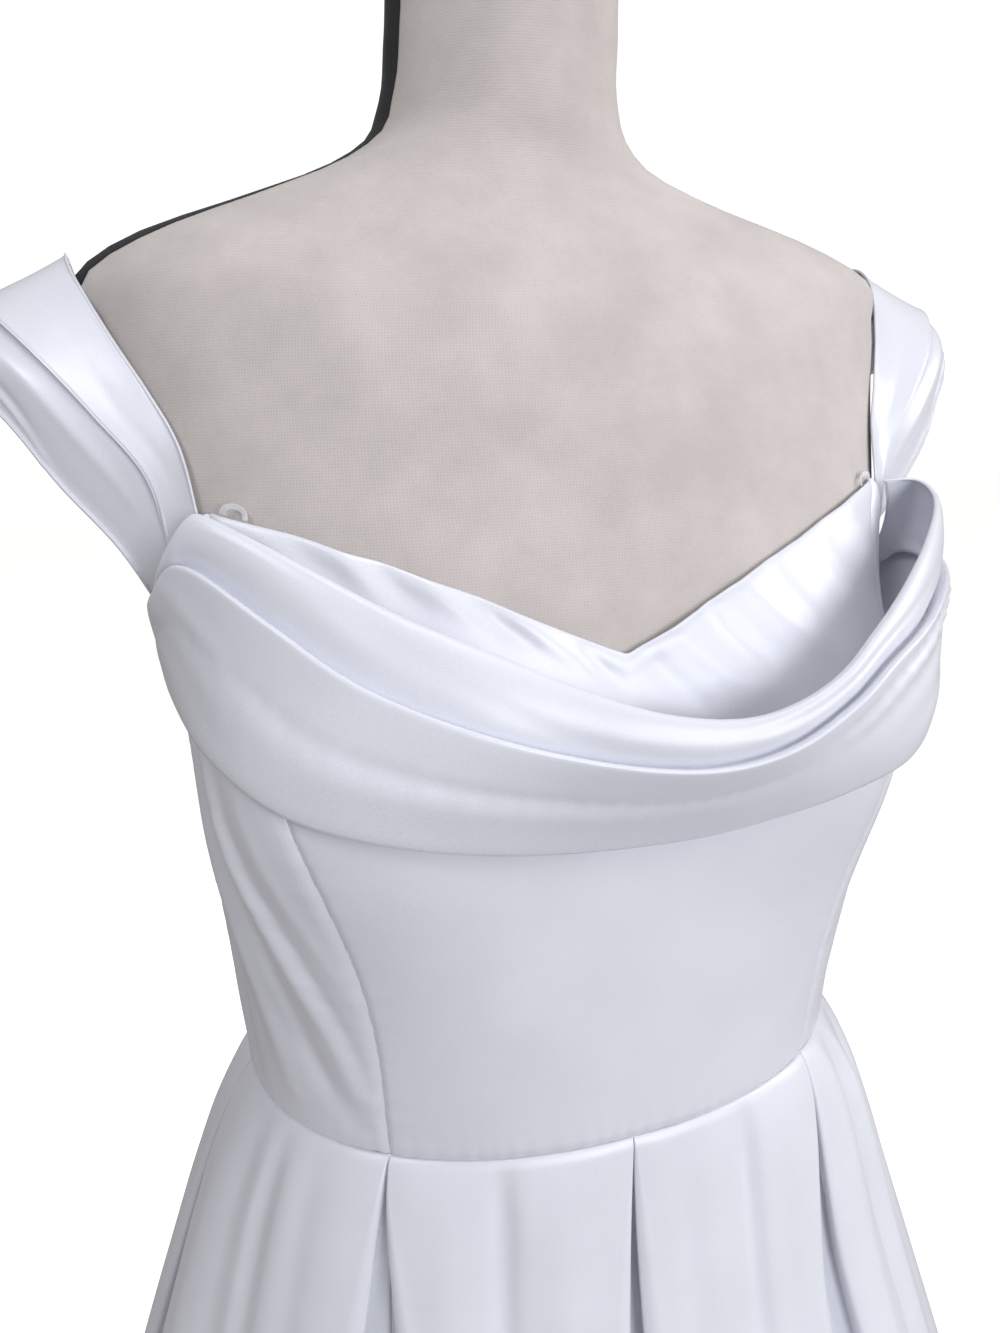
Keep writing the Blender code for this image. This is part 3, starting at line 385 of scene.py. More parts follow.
# Creases of the bodice: (angle, height) of the start, middle and end, half width in metres, stand in
# millimetres
BODICE_CREASES = [
    # Under the drape on the wearer's right side, running down to the princess seam
    ((-90.0, 0.172), (-86.0, 0.120), (-80.0, 0.010), 0.0075, -2.9),
    ((-82.0, 0.178), (-76.0, 0.125), (-66.0, 0.020), 0.0060, 2.8),
    ((-77.0, 0.172), (-69.0, 0.118), (-58.0, 0.030), 0.0048, -2.9),
    ((-71.5, 0.170), (-61.5, 0.115), (-51.5, 0.030), 0.0055, 3.0),
    ((-66.0, 0.155), (-57.0, 0.102), (-49.5, 0.030), 0.0034, -2.4),
    ((-60.0, 0.150), (-53.5, 0.110), (-49.0, 0.070), 0.0030, 1.0),
    ((-66.0, 0.060), (-58.0, 0.030), (-50.0, 0.004), 0.0060, -1.0),
    ((-94.0, 0.120), (-92.0, 0.070), (-88.0, 0.020), 0.0065, 1.2),
    # The same on the wearer's left side, a little lower and softer
    ((87.0, 0.168), (79.0, 0.118), (68.0, 0.026), 0.0062, -1.2),
    ((79.0, 0.172), (70.0, 0.124), (58.0, 0.040), 0.0052, 1.1),
    ((72.0, 0.160), (62.0, 0.110), (52.0, 0.050), 0.0044, -1.0),
    # Short pulls at the top edge, where the facing is turned in
    ((-57.0, 0.240), (-53.0, 0.231), (-48.0, 0.222), 0.0030, -1.6),
    ((-50.0, 0.236), (-46.5, 0.228), (-42.0, 0.217), 0.0030, 1.6),
    ((-45.0, 0.231), (-42.0, 0.222), (-36.0, 0.212), 0.0026, -1.8),
    ((-38.0, 0.226), (-34.0, 0.217), (-27.0, 0.207), 0.0032, 1.4),
    ((-33.0, 0.221), (-28.0, 0.211), (-19.0, 0.200), 0.0030, -1.6),
    ((-25.0, 0.214), (-18.0, 0.202), (-9.0, 0.190), 0.0034, 1.3),
    ((-14.0, 0.204), (-8.0, 0.193), (-1.0, 0.181), 0.0032, -1.2),
    ((3.0, 0.194), (7.0, 0.184), (15.0, 0.172), 0.0044, -1.2),
    ((10.0, 0.200), (15.0, 0.190), (24.0, 0.176), 0.0040, 1.2),
    ((18.0, 0.208), (22.0, 0.196), (30.0, 0.180), 0.0034, -1.5),
    ((26.0, 0.214), (30.0, 0.203), (38.0, 0.188), 0.0036, 1.5),
    ((33.0, 0.219), (36.0, 0.206), (42.0, 0.190), 0.0032, -1.6),
    ((41.0, 0.226), (44.0, 0.213), (49.0, 0.196), 0.0040, 1.4),
    ((48.0, 0.231), (51.0, 0.217), (55.0, 0.198), 0.0040, -1.5),
    ((54.0, 0.236), (57.0, 0.221), (60.0, 0.200), 0.0036, 1.2),
    # The back panels, soft pulls beside the zip
    ((168.0, 0.150), (162.0, 0.120), (150.0, 0.090), 0.0070, -0.9),
    ((-169.0, 0.130), (-160.0, 0.100), (-149.0, 0.076), 0.0070, -0.9),
    ((172.0, 0.060), (160.0, 0.040), (148.0, 0.030), 0.0070, 0.8),
    ((-172.0, 0.050), (-160.0, 0.034), (-147.0, 0.026), 0.0070, 0.8),
]
# A crease is followed at this many places, and fades toward its ends, but never to nothing
CREASE_PLACES = 29
CREASE_END_SHARE = 0.12
# The stitches draw a seam line in by this much, over this reach
NEEDLE_DIP = 0.8 * MM
DIP_REACH = 1.3 * MM
# Past a seam line the cloth is turned in by this much, and sinks this far
TURNED_IN = 0.7 * MM
TURNED_DEPTH = 1.3 * MM
# Small puckers along the seams
PUCKER_DEPTH = 0.22 * MM
PUCKER_REACH = 9.0 * MM
PUCKER_PITCH = 8.0 * MM
# The top edge rolls in, and the turned-in facing shows as a low ridge under it
TOP_ROLL = 0.5 * MM
TOP_ROLL_REACH = 0.8 * MM
FACING_RIDGE = 4.0 * MM
FACING_RIDGE_REACH = 2.2 * MM
# How far cloth stands off or sinks unevenly, and one degree round the bust in metres
SLACK = 0.5 * MM
METRES_PER_DEGREE = 0.0024
# Rounds that settle where a slanted seam meets the top edge, or a section meets the split of the form
EDGE_TRIES = 14
SPLIT_TRIES = 30
# Shortest step between two corners along the cloth
SHORTEST_STEP = 2e-5


def section_radius(angle, half_width, front, back, power):
    """Radius of a rounded section in a direction, from its half width and its depths."""
    t = np.radians(angle)
    depth = np.where(np.cos(t) > 0, front, back)
    across = np.abs(np.sin(t) / half_width) ** power
    along = np.abs(np.cos(t) / depth) ** power
    return (across + along) ** (-1 / power)


def figure_radius(angle, height):
    """Radius of the figure in a direction at a height, with the bust's fullness."""
    sizes = [FIGURE.at(height, name) for name in ("half_width", "front", "back", "power")]
    from_bust = ((np.abs(angle) - BUST_ANGLE) / BUST_SPREAD) ** 2 + ((height - BUST_HEIGHT) / BUST_RISE) ** 2
    return section_radius(angle, *sizes) + BUST_FULLNESS * np.exp(-from_bust)


def figure_point(angle, height, out=0.0):
    """Points on the figure, moved straight out from its middle."""
    radius = figure_radius(angle, height) + out
    t = np.radians(angle)
    lean = FIGURE.at(height, "lean")
    middle = FIGURE.at(height, "middle")
    return np.stack([lean + radius * np.sin(t), middle - radius * np.cos(t), WAIST + height + 0 * t], axis=-1)


def top_edge(angle):
    """Height of the bodice's top edge."""
    away = np.abs(angle)
    return np.where(away <= JUNCTION_ANGLE, NECKLINE.at(away, "height"), ARMHOLE.at(away, "height"))


def bell(away, reach):
    """1 on a line, fading to 0 beyond its reach."""
    return np.exp(-(away / reach) ** 2)


def rough(points, scale, seed):
    """Smooth random numbers about 0 for many points, the same on every run."""
    shift = Vector((seed * 7.31, seed * 3.17, seed * 5.77))
    return np.array([noise.noise(Vector(point) / scale + shift) for point in points])


def crease_stand(along, across, creases, unit_along):
    """How far soft creases lift each point: every crease fades toward its ends.  unit_along brings a step
    along to the same measure as a step across."""
    stand = np.zeros(len(along))
    for start, middle, end, width, height in creases:
        a, b, c = np.array(start), np.array(middle), np.array(end)
        nearest = np.full(len(along), np.inf)
        fade = np.zeros(len(along))
        for t in np.linspace(0.0, 1.0, CREASE_PLACES):
            place = a * (1 - t) ** 2 + 2 * b * t * (1 - t) + c * t * t
            away = np.hypot((along - place[0]) * unit_along, across - place[1])
            closer = away < nearest
            nearest = np.where(closer, away, nearest)
            along_it = CREASE_END_SHARE + (1 - 2 * CREASE_END_SHARE) * t
            fade = np.where(closer, math.sin(math.pi * along_it), fade)
        stand += height * MM * fade * bell(nearest, width)
    return stand


def across_three(station, table, parts, name, across, middle_place):
    """A table's three guides at a station, blended smoothly across the band."""
    first, middle, last = (table.at(station, part + name) for part in parts)
    rise_a = (middle - first) / middle_place
    rise_b = (last - middle) / (1 - middle_place)
    slope = rise_a * (1 - middle_place) + rise_b * middle_place
    upper = across < middle_place
    step = np.where(upper, middle_place, 1 - middle_place)
    t = np.where(upper, across / middle_place, (across - middle_place) / (1 - middle_place))
    low, high = np.where(upper, first, middle), np.where(upper, middle, last)
    slope_low, slope_high = np.where(upper, rise_a, slope), np.where(upper, slope, rise_b)
    start = low * (1 + 2 * t) * (1 - t) ** 2 + slope_low * step * t * (1 - t) ** 2
    return start + high * t * t * (3 - 2 * t) + slope_high * step * t * t * (t - 1)


def square_to(surface, station, across, last):
    """Unit vectors square to a band's smooth surface."""
    tiny = 2e-3
    near = np.clip(station, tiny, last - tiny)
    middle = np.clip(across, tiny, 1 - tiny)
    step_along = surface(near + tiny, middle) - surface(near - tiny, middle)
    step_across = surface(near, middle + tiny) - surface(near, middle - tiny)
    out = np.cross(step_along, step_across)
    return out / np.linalg.norm(out, axis=1, keepdims=True)


def cloth_grid(columns, rows, place, centre):
    """A grid moved onto a worn form, its faces outward, with the flat cut in metres as its UV map."""
    cloth = bmesh.new()
    bmesh.ops.create_grid(cloth, x_segments=columns, y_segments=rows, size=0.5)
    flat = np.array([vert.co[:2] for vert in cloth.verts]) + 0.5
    points = place(flat[:, 0], flat[:, 1])
    order = np.lexsort((flat[:, 0].round(6), flat[:, 1].round(6)))
    net = points[order].reshape(rows + 1, columns + 1, 3)
    width = np.linalg.norm(np.diff(net, axis=1), axis=2).sum(axis=1).max()
    length = np.linalg.norm(np.diff(net, axis=0), axis=2).sum(axis=0).max()
    cut = cloth.loops.layers.uv.new("cut")
    for face in cloth.faces:
        for loop in face.loops:
            u, v = flat[loop.vert.index]
            loop[cut].uv = (u * width, v * length)
    for vert, point in zip(cloth.verts, points):
        vert.co = point
    cloth.normal_update()
    outward = sum(face.normal.dot(face.calc_center_median() - Vector(centre)) for face in cloth.faces)
    if outward < 0:
        bmesh.ops.reverse_faces(cloth, faces=cloth.faces)
    area = sum(face.calc_area() for face in cloth.faces)
    return cloth, (float(width), float(length), float(area))


def add_piece(name, builder, material):
    """Makes a bmesh one smooth-shaded object that rides on the dress."""
    mesh = bpy.data.meshes.new(name)
    builder.to_mesh(mesh)
    builder.free()
    mesh.shade_smooth()
    mesh.materials.append(material)
    piece = bpy.data.objects.new(name, mesh)
    bpy.context.scene.collection.objects.link(piece)
    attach(piece, ROOT)
    return piece


def give_thickness(piece, thickness, rounded=0):
    """A wall inward of the outer face, its edges rounded by a subdivision where asked."""
    wall = piece.modifiers.new("cloth thickness", "SOLIDIFY")
    wall.thickness = thickness
    wall.offset = -1.0
    if rounded:
        soft = piece.modifiers.new("rounded edges", "SUBSURF")
        soft.levels = rounded
        soft.render_levels = rounded


def add_cloth(name, node, grid, rounded=0):
    """A cut piece in place of its plain solid, which it hides, given the satin's thickness."""
    cloth, (width, length, area) = grid
    piece = add_piece(name, cloth, satin())
    give_thickness(piece, bpy.context.scene.dress_sizes.satin_thickness, rounded)
    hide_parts(node)
    return piece


def puckers(along, swing, seed):
    """Small uneven waves along a seam, from -1 to 1."""
    return np.sin(2 * math.pi * along / PUCKER_PITCH + swing * np.sin(along / PUCKER_PITCH + seed))


def bodice_panel(name, left_edge, right_edge, columns, rows, seed):
    """One cut piece of the bodice: its seams dip, pucker a little, and its creases stand or sink."""

    def place(u, v):
        angle = left_edge(0.0 * u) * (1 - u) + right_edge(0.0 * u) * u
        for _ in range(EDGE_TRIES):
            height = v * top_edge(angle)
            angle = left_edge(height) * (1 - u) + right_edge(height) * u
        radius = figure_radius(angle, height)
        past = np.degrees(TURNED_IN / radius)
        angle = angle + np.where(u >= 1.0, past, 0.0) - np.where(u <= 0.0, past, 0.0)
        span = np.radians(right_edge(height) - left_edge(height)) * radius
        from_side = np.minimum(u, 1 - u) * span
        from_top = top_edge(angle) - height
        out = -NEEDLE_DIP * np.maximum(bell(from_side, DIP_REACH), bell(height, DIP_REACH))
        out -= np.where((from_side <= 0.0) | (v <= 0.0), TURNED_DEPTH, 0.0)
        out -= TOP_ROLL * bell(from_top, TOP_ROLL_REACH)
        out += TOP_ROLL * bell(from_top - FACING_RIDGE, FACING_RIDGE_REACH)
        out += PUCKER_DEPTH * puckers(height, 2.5, seed) * bell(from_side, PUCKER_REACH)
        out += PUCKER_DEPTH * puckers(np.radians(angle) * radius, 2.0, seed) * bell(height, PUCKER_REACH)
        depth = bpy.context.scene.dress_sizes.crease_depth
        out += depth * crease_stand(angle, height, BODICE_CREASES, METRES_PER_DEGREE)
        out += SLACK * rough(figure_point(angle, height), 0.035, seed)
        return figure_point(angle, height - np.where(v <= 0.0, TURNED_IN, 0.0), out)

    grid = cloth_grid(columns, rows, place, (0.0, 0.0, WAIST + 0.1))
    return add_cloth(name + "_satin", name, grid,
                     rounded=1)


def skirt_radius(angle, height):
    """Radius of the skirt without its folded pleats."""
    sizes = [SKIRT.at(height, name) for name in ("half_width", "front", "back", "power")]
    crease = SOFT_CREASE.at(-height, "crease")
    wave = SOFT_CREASE.at(-height, "wave")
    dip = 0.0
    for place in SOFT_PLEATS:
        away = np.abs(angle - place)
        dip = dip + crease * bell(away, CREASE_SPREAD) + wave * bell(away, WAVE_SPREAD)
    return section_radius(angle, *sizes) - dip


def half_pleat(angle, height, side):
    """(angle, radius) from the middle of a folded pleat's underlay out to the flat cloth on one side."""
    share = PLEATS.at(angle, "opening")
    opening, depth, tuck, softness, lean = [PLEAT_GROWTH.at(-height, name)
                                            for name in ("opening", "depth", "tuck", "softness", "lean")]
    angle = angle + lean * PLEATS.at(angle, "lean")
    fold_round = FOLD_ROUND * min(1.0, depth / FULL_DEPTH)
    points = []
    for opened, tucked, softened, rounds, deep in PLEAT_HALF:
        away = opened * opening * share + tucked * tuck
        away += softened * softness * share + rounds * fold_round
        turned = angle + side * math.degrees(away / skirt_radius(angle, height))
        points.append((turned, skirt_radius(turned, height) - deep * depth))
    return points


# Degrees beside a soft pleat or the zip at which the cloth is placed, and the columns of one step between
# places at a folded pleat and elsewhere
SOFT_PLACES = (-8.0, -3.0, 0.0, 3.0, 8.0)
ZIP_SIDE_PLACES = (-13.0, -5.0, 0.0)
PLEAT_STEPS = 4
FLAT_STEPS = 7


def skirt_keys(features, height):
    """(angle, radius) along one cut piece of the skirt, and how many columns each step between them takes."""
    points = []
    steps = []

    def add(new_points, inside):
        if points:
            steps.append(FLAT_STEPS)
        points.extend(new_points)
        steps.extend([inside] * (len(new_points) - 1))

    for kind, angle in features:
        if kind in ("start", "end", "whole"):
            before = list(reversed(half_pleat(angle, height, -1)))
            after = half_pleat(angle, height, 1)
        if kind == "soft":
            add([(angle + away, skirt_radius(angle + away, height)) for away in SOFT_PLACES], FLAT_STEPS)
        elif kind == "start":
            add(after, PLEAT_STEPS)
        elif kind == "end":
            add(before, PLEAT_STEPS)
        elif kind == "whole":
            add(before + after[1:], PLEAT_STEPS)
        elif kind == "zip":
            places = [angle + away for away in ZIP_SIDE_PLACES]
            if angle < 0:
                places = [angle - away for away in reversed(ZIP_SIDE_PLACES)]
            add([(place, skirt_radius(place, height)) for place in places], FLAT_STEPS)
    return points, steps


def fold_stand(angle, drop):
    """How far the small hanging folds lift the skirt at each angle."""
    stand = np.zeros(len(angle))
    for place, faded_in, faded_out, width, height in SKIRT_FOLDS:
        rise = np.clip(drop / faded_in, 0.0, 1.0)
        fall = np.clip((faded_out - drop) / FOLD_FADE, 0.0, 1.0)
        wander = place + FOLD_WANDER * math.sin(FOLD_WAVES * drop + place)
        stand += height * MM * rise * fall * bell(angle - wander, width)
    return stand


def walk_round(angle, radius):
    """How far each of some points lies along the cloth from the first, and their x and y."""
    x, y = radius * np.sin(np.radians(angle)), -radius * np.cos(np.radians(angle))
    steps = np.maximum(np.hypot(np.diff(x), np.diff(y)), SHORTEST_STEP)
    return np.concatenate([[0.0], np.cumsum(steps)]), x, y


def skirt_panel(name, features, rows, seed):
    """One cut piece of the skirt from waist to hem, round its folded pleats."""
    steps = skirt_keys(features, -0.1)[1]
    columns = sum(steps)
    sample = np.concatenate([[0.0], *[i + np.arange(1, n + 1) / n for i, n in enumerate(steps)]])

    def row_points(height):
        keys = skirt_keys(features, height)[0]
        for i, inward in ((0, 1), (-1, -1)):
            angle, radius = keys[i]
            at_zip = abs(angle) == 180.0 and height >= ZIP_END
            gap = ZIP_HALF_WIDTH if at_zip else -TURNED_IN / 2
            keys[i] = (angle + inward * math.degrees(gap / radius), radius)
        walk, x, y = walk_round(*np.array(keys).T)
        places = np.interp(sample, np.arange(len(walk)), walk)
        x, y = smooth_curve(walk, x, places), smooth_curve(walk, y, places)
        turned = np.degrees(np.arctan2(x, -y))
        out = fold_stand(turned, -height) - NEEDLE_DIP * bell(height, WAIST_DIP_REACH)
        if height > 0.0:
            out = out - TURNED_DEPTH
        share = 1 + out / np.hypot(x, y)
        return np.stack([x * share, y * share, np.full(len(x), WAIST + height)], axis=1)

    def place(u, v):
        column = np.rint(u * columns).astype(int)
        row = np.rint(v * rows).astype(int)
        drops = -HEM * (1 - np.arange(rows + 1) / rows) ** ROW_CROWDING
        drops[-1] = -TURNED_IN
        drops[-2] = 0.0
        net = np.stack([row_points(-drop) for drop in drops])
        points = net[row, column]
        below_waist = np.clip((WAIST - points[:, 2]) / SKIRT_SLACK_FROM, 0, 1)
        away = rough(points * np.array([1.0, 1.0, 0.35]), 0.05, seed) * below_waist
        radial = points * np.array([1.0, 1.0, 0.0])
        return points + radial / np.linalg.norm(radial, axis=1, keepdims=True) * away[:, None] * SKIRT_SLACK

    grid = cloth_grid(columns, rows, place, (0.0, 0.0, WAIST - 0.3))
    return add_cloth(name + "_satin", name, grid)


def mirrored(features):
    """The same features on the wearer's other side, in order."""
    swap = {"start": "end", "end": "start"}
    return [(swap.get(kind, kind), -angle) for kind, angle in reversed(features)]


def drape_band():
    """The cowl band, its lower part folded over the upper one, and its creases gathering to the open side."""
    last = DRAPE.rows[-1][0]
    parts = ("top_", "ridge_", "low_")

    def surface(station, across):
        guides = [across_three(station, DRAPE, parts, name, across, RIDGE_PLACE)
                  for name in ("angle", "height", "out")]
        return figure_point(*guides)

    def place(u, v):
        station = u * last
        walk = 1 - v
        across = np.clip(DRAPE_PATH.at(walk, "across"), 0.0, 1.0)
        from_end = np.clip(np.minimum(station, last - station) + DRAPE_END_SHARE, 0.0, 1.0)
        fold = bpy.context.scene.dress_sizes.fold_height
        stand = DRAPE_PATH.at(walk, "stand") * from_end * fold
        stand += crease_stand(station, across, DRAPE_CREASES, DRAPE_STATION_SHARE)
        points = surface(station, across)
        stand += SLACK * rough(points, 0.03, 11)
        return points - square_to(surface, station, across, last) * stand[:, None]

    grid = cloth_grid(*DRAPE_GRID, place, (0.0, 0.02, WAIST + 0.15))
    return add_cloth("drape_satin", "drape", grid)


def strap_band(side, sign):
    """A folded band over the shoulder end, its outer part folded over the inner one."""
    parts = ("inner_", "crest_", "outer_")
    ends = []
    for station, angles in ((0, STRAP_FRONT_ANGLES), (9, STRAP_BACK_ANGLES)):
        row = [station]
        for angle in (angles[0], sum(angles) / 2, angles[1]):
            x, y, z = figure_point(angle, float(top_edge(angle)) + 2 * SEAM_GAP)
            row.extend((x, y, z - WAIST))
        ends.append(tuple(row))
    guides = Table(" ".join(STRAP.names), [ends[0], *STRAP.rows, ends[1]])
    last = guides.rows[-1][0]

    def surface(station, across):
        axes = [across_three(station, guides, parts, name, across, 0.5) for name in "xyz"]
        axes[2] = axes[2] + WAIST
        return np.stack(axes, axis=-1)

    def place(u, v):
        station = u * last
        walk = 1 - v
        across = np.clip(STRAP_PATH.at(walk, "across"), 0.0, 1.0)
        out = square_to(surface, station, across, last)
        from_end = np.clip(np.minimum(station, last - station), 0.0, 1.0)
        out[:, 2] *= from_end
        out /= np.linalg.norm(out, axis=1, keepdims=True)
        ease = np.clip(from_end + STRAP_END_SHARE, 0.0, 1.0) * bpy.context.scene.dress_sizes.fold_height
        stand = STRAP_PATH.at(walk, "stand") * ease
        stand += crease_stand(station, across, STRAP_CREASES, STRAP_STATION_SHARE) * from_end
        points = surface(station, across)
        stand += STRAP_SLACK * rough(points, 0.02, 5 + sign) * from_end
        return (points + out * stand[:, None]) * np.array([sign, 1.0, 1.0])

    grid = cloth_grid(*STRAP_GRID, place, (sign * 0.14, 0.01, WAIST + 0.25))
    return add_cloth("strap_" + side + "_satin", "strap_" + side, grid)


# Walking up a form half: the share of the walk, the height there, and the share of the full section
FORM_WALK = (0.0, 0.03, 0.045, 0.93, 0.945, 1.0)
FORM_HEIGHTS = (FORM_FOOT, FORM_FOOT, FORM_FOOT + 3 * MM, NECK_TOP - 4 * MM, NECK_TOP, NECK_TOP + 0.5 * MM)
FORM_SHARES = (0.80, 0.97, 1.0, 1.0, 0.97, 0.0)
FORM_FOLD_IN = 5 * MM
FORM_GRID = (130, 150)
FORM_COVER = 1.0 * MM
FORM_SIDE_SHARE = 0.012
# On the wearer's right shoulder the back's cover comes forward past the split
COVER_FORWARD = 11 * MM
COVER_HEIGHT = 0.345
COVER_REACH = 0.024


def form_half(name, node, sign, material):
    """One half of the form as a covered shell, turned in along the side seam and closed over the neck."""

    def section_point(angle, height):
        depth = np.where(np.abs(angle) < 90.0, FIGURE.at(height, "front"), FIGURE.at(height, "back"))
        t = np.radians(angle)
        turned = np.degrees(np.arctan2(FIGURE.at(height, "half_width") * np.sin(t), depth * np.cos(t)))
        return figure_point(turned, height, -FORM_INSET)

    def side_angle(height, side, split):
        """The angle at which one side's outline reaches the split."""
        low, high = np.full(len(height), 30.0), np.full(len(height), 120.0)
        for _ in range(SPLIT_TRIES):
            middle = (low + high) / 2
            inside = section_point(side * middle, height)[:, 1] < split
            low, high = np.where(inside, middle, low), np.where(inside, high, middle)
        return low

    def place(u, v):
        height = np.interp(v, FORM_WALK, FORM_HEIGHTS)
        share = np.interp(v, FORM_WALK, FORM_SHARES)
        forward = COVER_FORWARD * bell(height - COVER_HEIGHT, COVER_REACH)
        right = side_angle(height, -1.0, FORM_SPLIT_Y - forward)
        left = side_angle(height, 1.0, np.full(len(u), FORM_SPLIT_Y))
        walk = np.clip((u - FORM_SIDE_SHARE) / (1 - 2 * FORM_SIDE_SHARE), 0.0, 1.0)
        angle = -right + (left + right) * walk if sign < 0 else left + (360.0 - right - left) * walk
        points = section_point(np.where(angle > 180.0, angle - 360.0, angle), height)
        fold = np.clip((FORM_SIDE_SHARE - np.minimum(u, 1 - u)) / FORM_SIDE_SHARE, 0.0, 1.0)
        points[:, 0] *= share
        points[:, 1] = FORM_SPLIT_Y + (points[:, 1] - FORM_SPLIT_Y) * share
        points[:, 0] -= np.sign(points[:, 0]) * np.minimum(fold * FORM_FOLD_IN, np.abs(points[:, 0]))
        return points

    shell, _ = cloth_grid(*FORM_GRID, place, (0.0, sign * 0.02, WAIST + 0.1))
    bmesh.ops.remove_doubles(shell, verts=shell.verts, dist=2e-5)
    bmesh.ops.dissolve_degenerate(shell, edges=shell.edges, dist=1e-5)
    piece = add_piece(name, shell, material)
    give_thickness(piece, FORM_COVER)
    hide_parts(node)
    return piece


# Sewing and small fastenings
BLOCK_SOFTENING = 0.25
HEM_STITCH_HEIGHT = 25 * MM
STITCH_THICKNESS = 0.45 * MM
STITCH_SLANT = 35.0
STITCH_STAND = 0.6 * MM
# Cloth turned in at a pleat, where the outward direction leans this far off, has no stitches that show
OUTWARD_SHARE = 0.35
TEETH_TOP_DROP = 13.5 * MM
TOOTH_PITCH = 1.25 * MM
TOOTH_SIZE = (1.7 * MM, 0.55 * MM, 0.75 * MM)
TOOTH_OFFSET = 0.28 * MM
TOOTH_SINK = 0.1 * MM
LOOP_ANGLE = 62.5
LOOP_HEIGHT = 0.243
LOOP_RADIUS = 4.6 * MM
LOOP_WIDTH = 2.0 * MM
LOOP_THICKNESS = 0.5 * MM
LOOP_INSET = 0.6 * MM
LOOP_CURL = 0.5 * MM
LOOP_LEAN = 0.3 * MM
LOOP_GRID = (28, 5)


def add_block(builder, size, place, turn):
    """A small block with softened long edges, turned and moved into place."""
    made = bmesh.ops.create_cube(builder, size=1.0)
    bmesh.ops.scale(builder, vec=size, verts=made["verts"])
    edges = list({edge for vert in made["verts"] for edge in vert.link_edges})
    soft = bmesh.ops.bevel(builder, geom=edges, offset=min(size) * BLOCK_SOFTENING, offset_type="OFFSET",
                           affect="EDGES", segments=1, profile=0.5, material=-1)
    verts = list({vert for face in soft["faces"] for vert in face.verts})
    bmesh.ops.rotate(builder, verts=verts, matrix=turn)
    bmesh.ops.translate(builder, verts=verts, vec=place)


SKIRT_FRONT = [("start", -PLEAT_ANGLE), ("soft", -27.0), ("whole", 0.0), ("soft", 27.0), ("end", PLEAT_ANGLE)]
SKIRT_SIDE = [("start", PLEAT_ANGLE), ("soft", 68.0), ("whole", 90.0), ("soft", 111.0), ("end", BACK_PLEAT)]
SKIRT_BACK = [("start", BACK_PLEAT), ("soft", 156.0), ("zip", 180.0)]
# The cut pieces of the skirt: node, features in order, rows of the grid, seed of the uneven stand
SKIRT_PANELS = (
    ("skirt_front", SKIRT_FRONT, 110, 21),
    ("skirt_side_left", SKIRT_SIDE, 90, 22),
    ("skirt_side_right", mirrored(SKIRT_SIDE), 90, 23),
    ("skirt_back_left", SKIRT_BACK, 90, 24),
    ("skirt_back_right", mirrored(SKIRT_BACK), 90, 25),
)


def skirt_line(features, height):
    """A cut piece of the skirt at one height, as walk_round gives it."""
    angle, radius = np.array(skirt_keys(features, height)[0]).T
    return walk_round(angle, radius + fold_stand(angle, -height))


def hem_stitches():
    """The hem's row of slanted stitches round the skirt, on the flats and folds that face out."""
    sizes = bpy.context.scene.dress_sizes
    height = HEM + HEM_STITCH_HEIGHT
    rows = bmesh.new()
    for _, features, _, _ in SKIRT_PANELS:
        walk, x, y = skirt_line(features, height)
        places = np.arange(sizes.stitch_spacing, walk[-1] - sizes.stitch_spacing, sizes.stitch_spacing)
        px, py = smooth_curve(walk, x, places), smooth_curve(walk, y, places)
        tx, ty = np.gradient(px), np.gradient(py)
        for a, b, c, d in zip(px, py, tx, ty):
            along = Vector((c, d, 0.0)).normalized()
            out = Vector((along.y, -along.x, 0.0))
            if out.dot(Vector((a, b, 0.0)).normalized()) < OUTWARD_SHARE:
                continue
            turn = Matrix((along, out, Vector((0.0, 0.0, 1.0)))).transposed()
            slant = turn @ Matrix.Rotation(math.radians(STITCH_SLANT), 3, "Y")
            size = (sizes.stitch_length, STITCH_THICKNESS, STITCH_THICKNESS)
            add_block(rows, size, Vector((a, b, WAIST + height)) + out * STITCH_STAND, slant)
    return add_piece("hem_stitches", rows, thread())


def zip_teeth():
    """Two staggered rows of closed teeth down the centre back, over the chain's tape."""
    teeth = bmesh.new()
    top = float(top_edge(180.0)) - TEETH_TOP_DROP
    for i in range(int((top - ZIP_END) / TOOTH_PITCH)):
        height = top - i * TOOTH_PITCH
        back = figure_radius(180.0, height) if height > 0 else skirt_radius(np.array([180.0]), height)[0]
        side = TOOTH_OFFSET if i % 2 else -TOOTH_OFFSET
        place = Vector((side, float(back) - TOOTH_SINK, WAIST + height))
        add_block(teeth, TOOTH_SIZE, place, Matrix.Identity(3))
    return add_piece("zip_teeth", teeth, lacquer())


def hanger_loop(side, sign):
    """A tiny ribbon loop that stands up inside the neckline beside the strap."""

    def place(u, v):
        t = math.pi * u
        radius = LOOP_RADIUS - LOOP_WIDTH * (1 - v)
        around = np.degrees(radius * np.cos(t) / figure_radius(LOOP_ANGLE, LOOP_HEIGHT))
        angle = LOOP_ANGLE + around
        height = top_edge(angle) + SEAM_GAP + radius * np.sin(t)
        curl = LOOP_CURL * np.sin(2 * math.pi * u) + LOOP_LEAN * (v - 0.5)
        return figure_point(sign * angle, height, curl - LOOP_INSET)

    loop, _ = cloth_grid(*LOOP_GRID, place, (0.0, 0.0, WAIST + 0.2))
    piece = add_piece("hanger_loop_" + side + "_ribbon", loop, ribbon())
    give_thickness(piece, LOOP_THICKNESS, rounded=1)
    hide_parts("hanger_loop_" + side)
    return piece


# Finishes.  Each is made once and shared by its pieces.

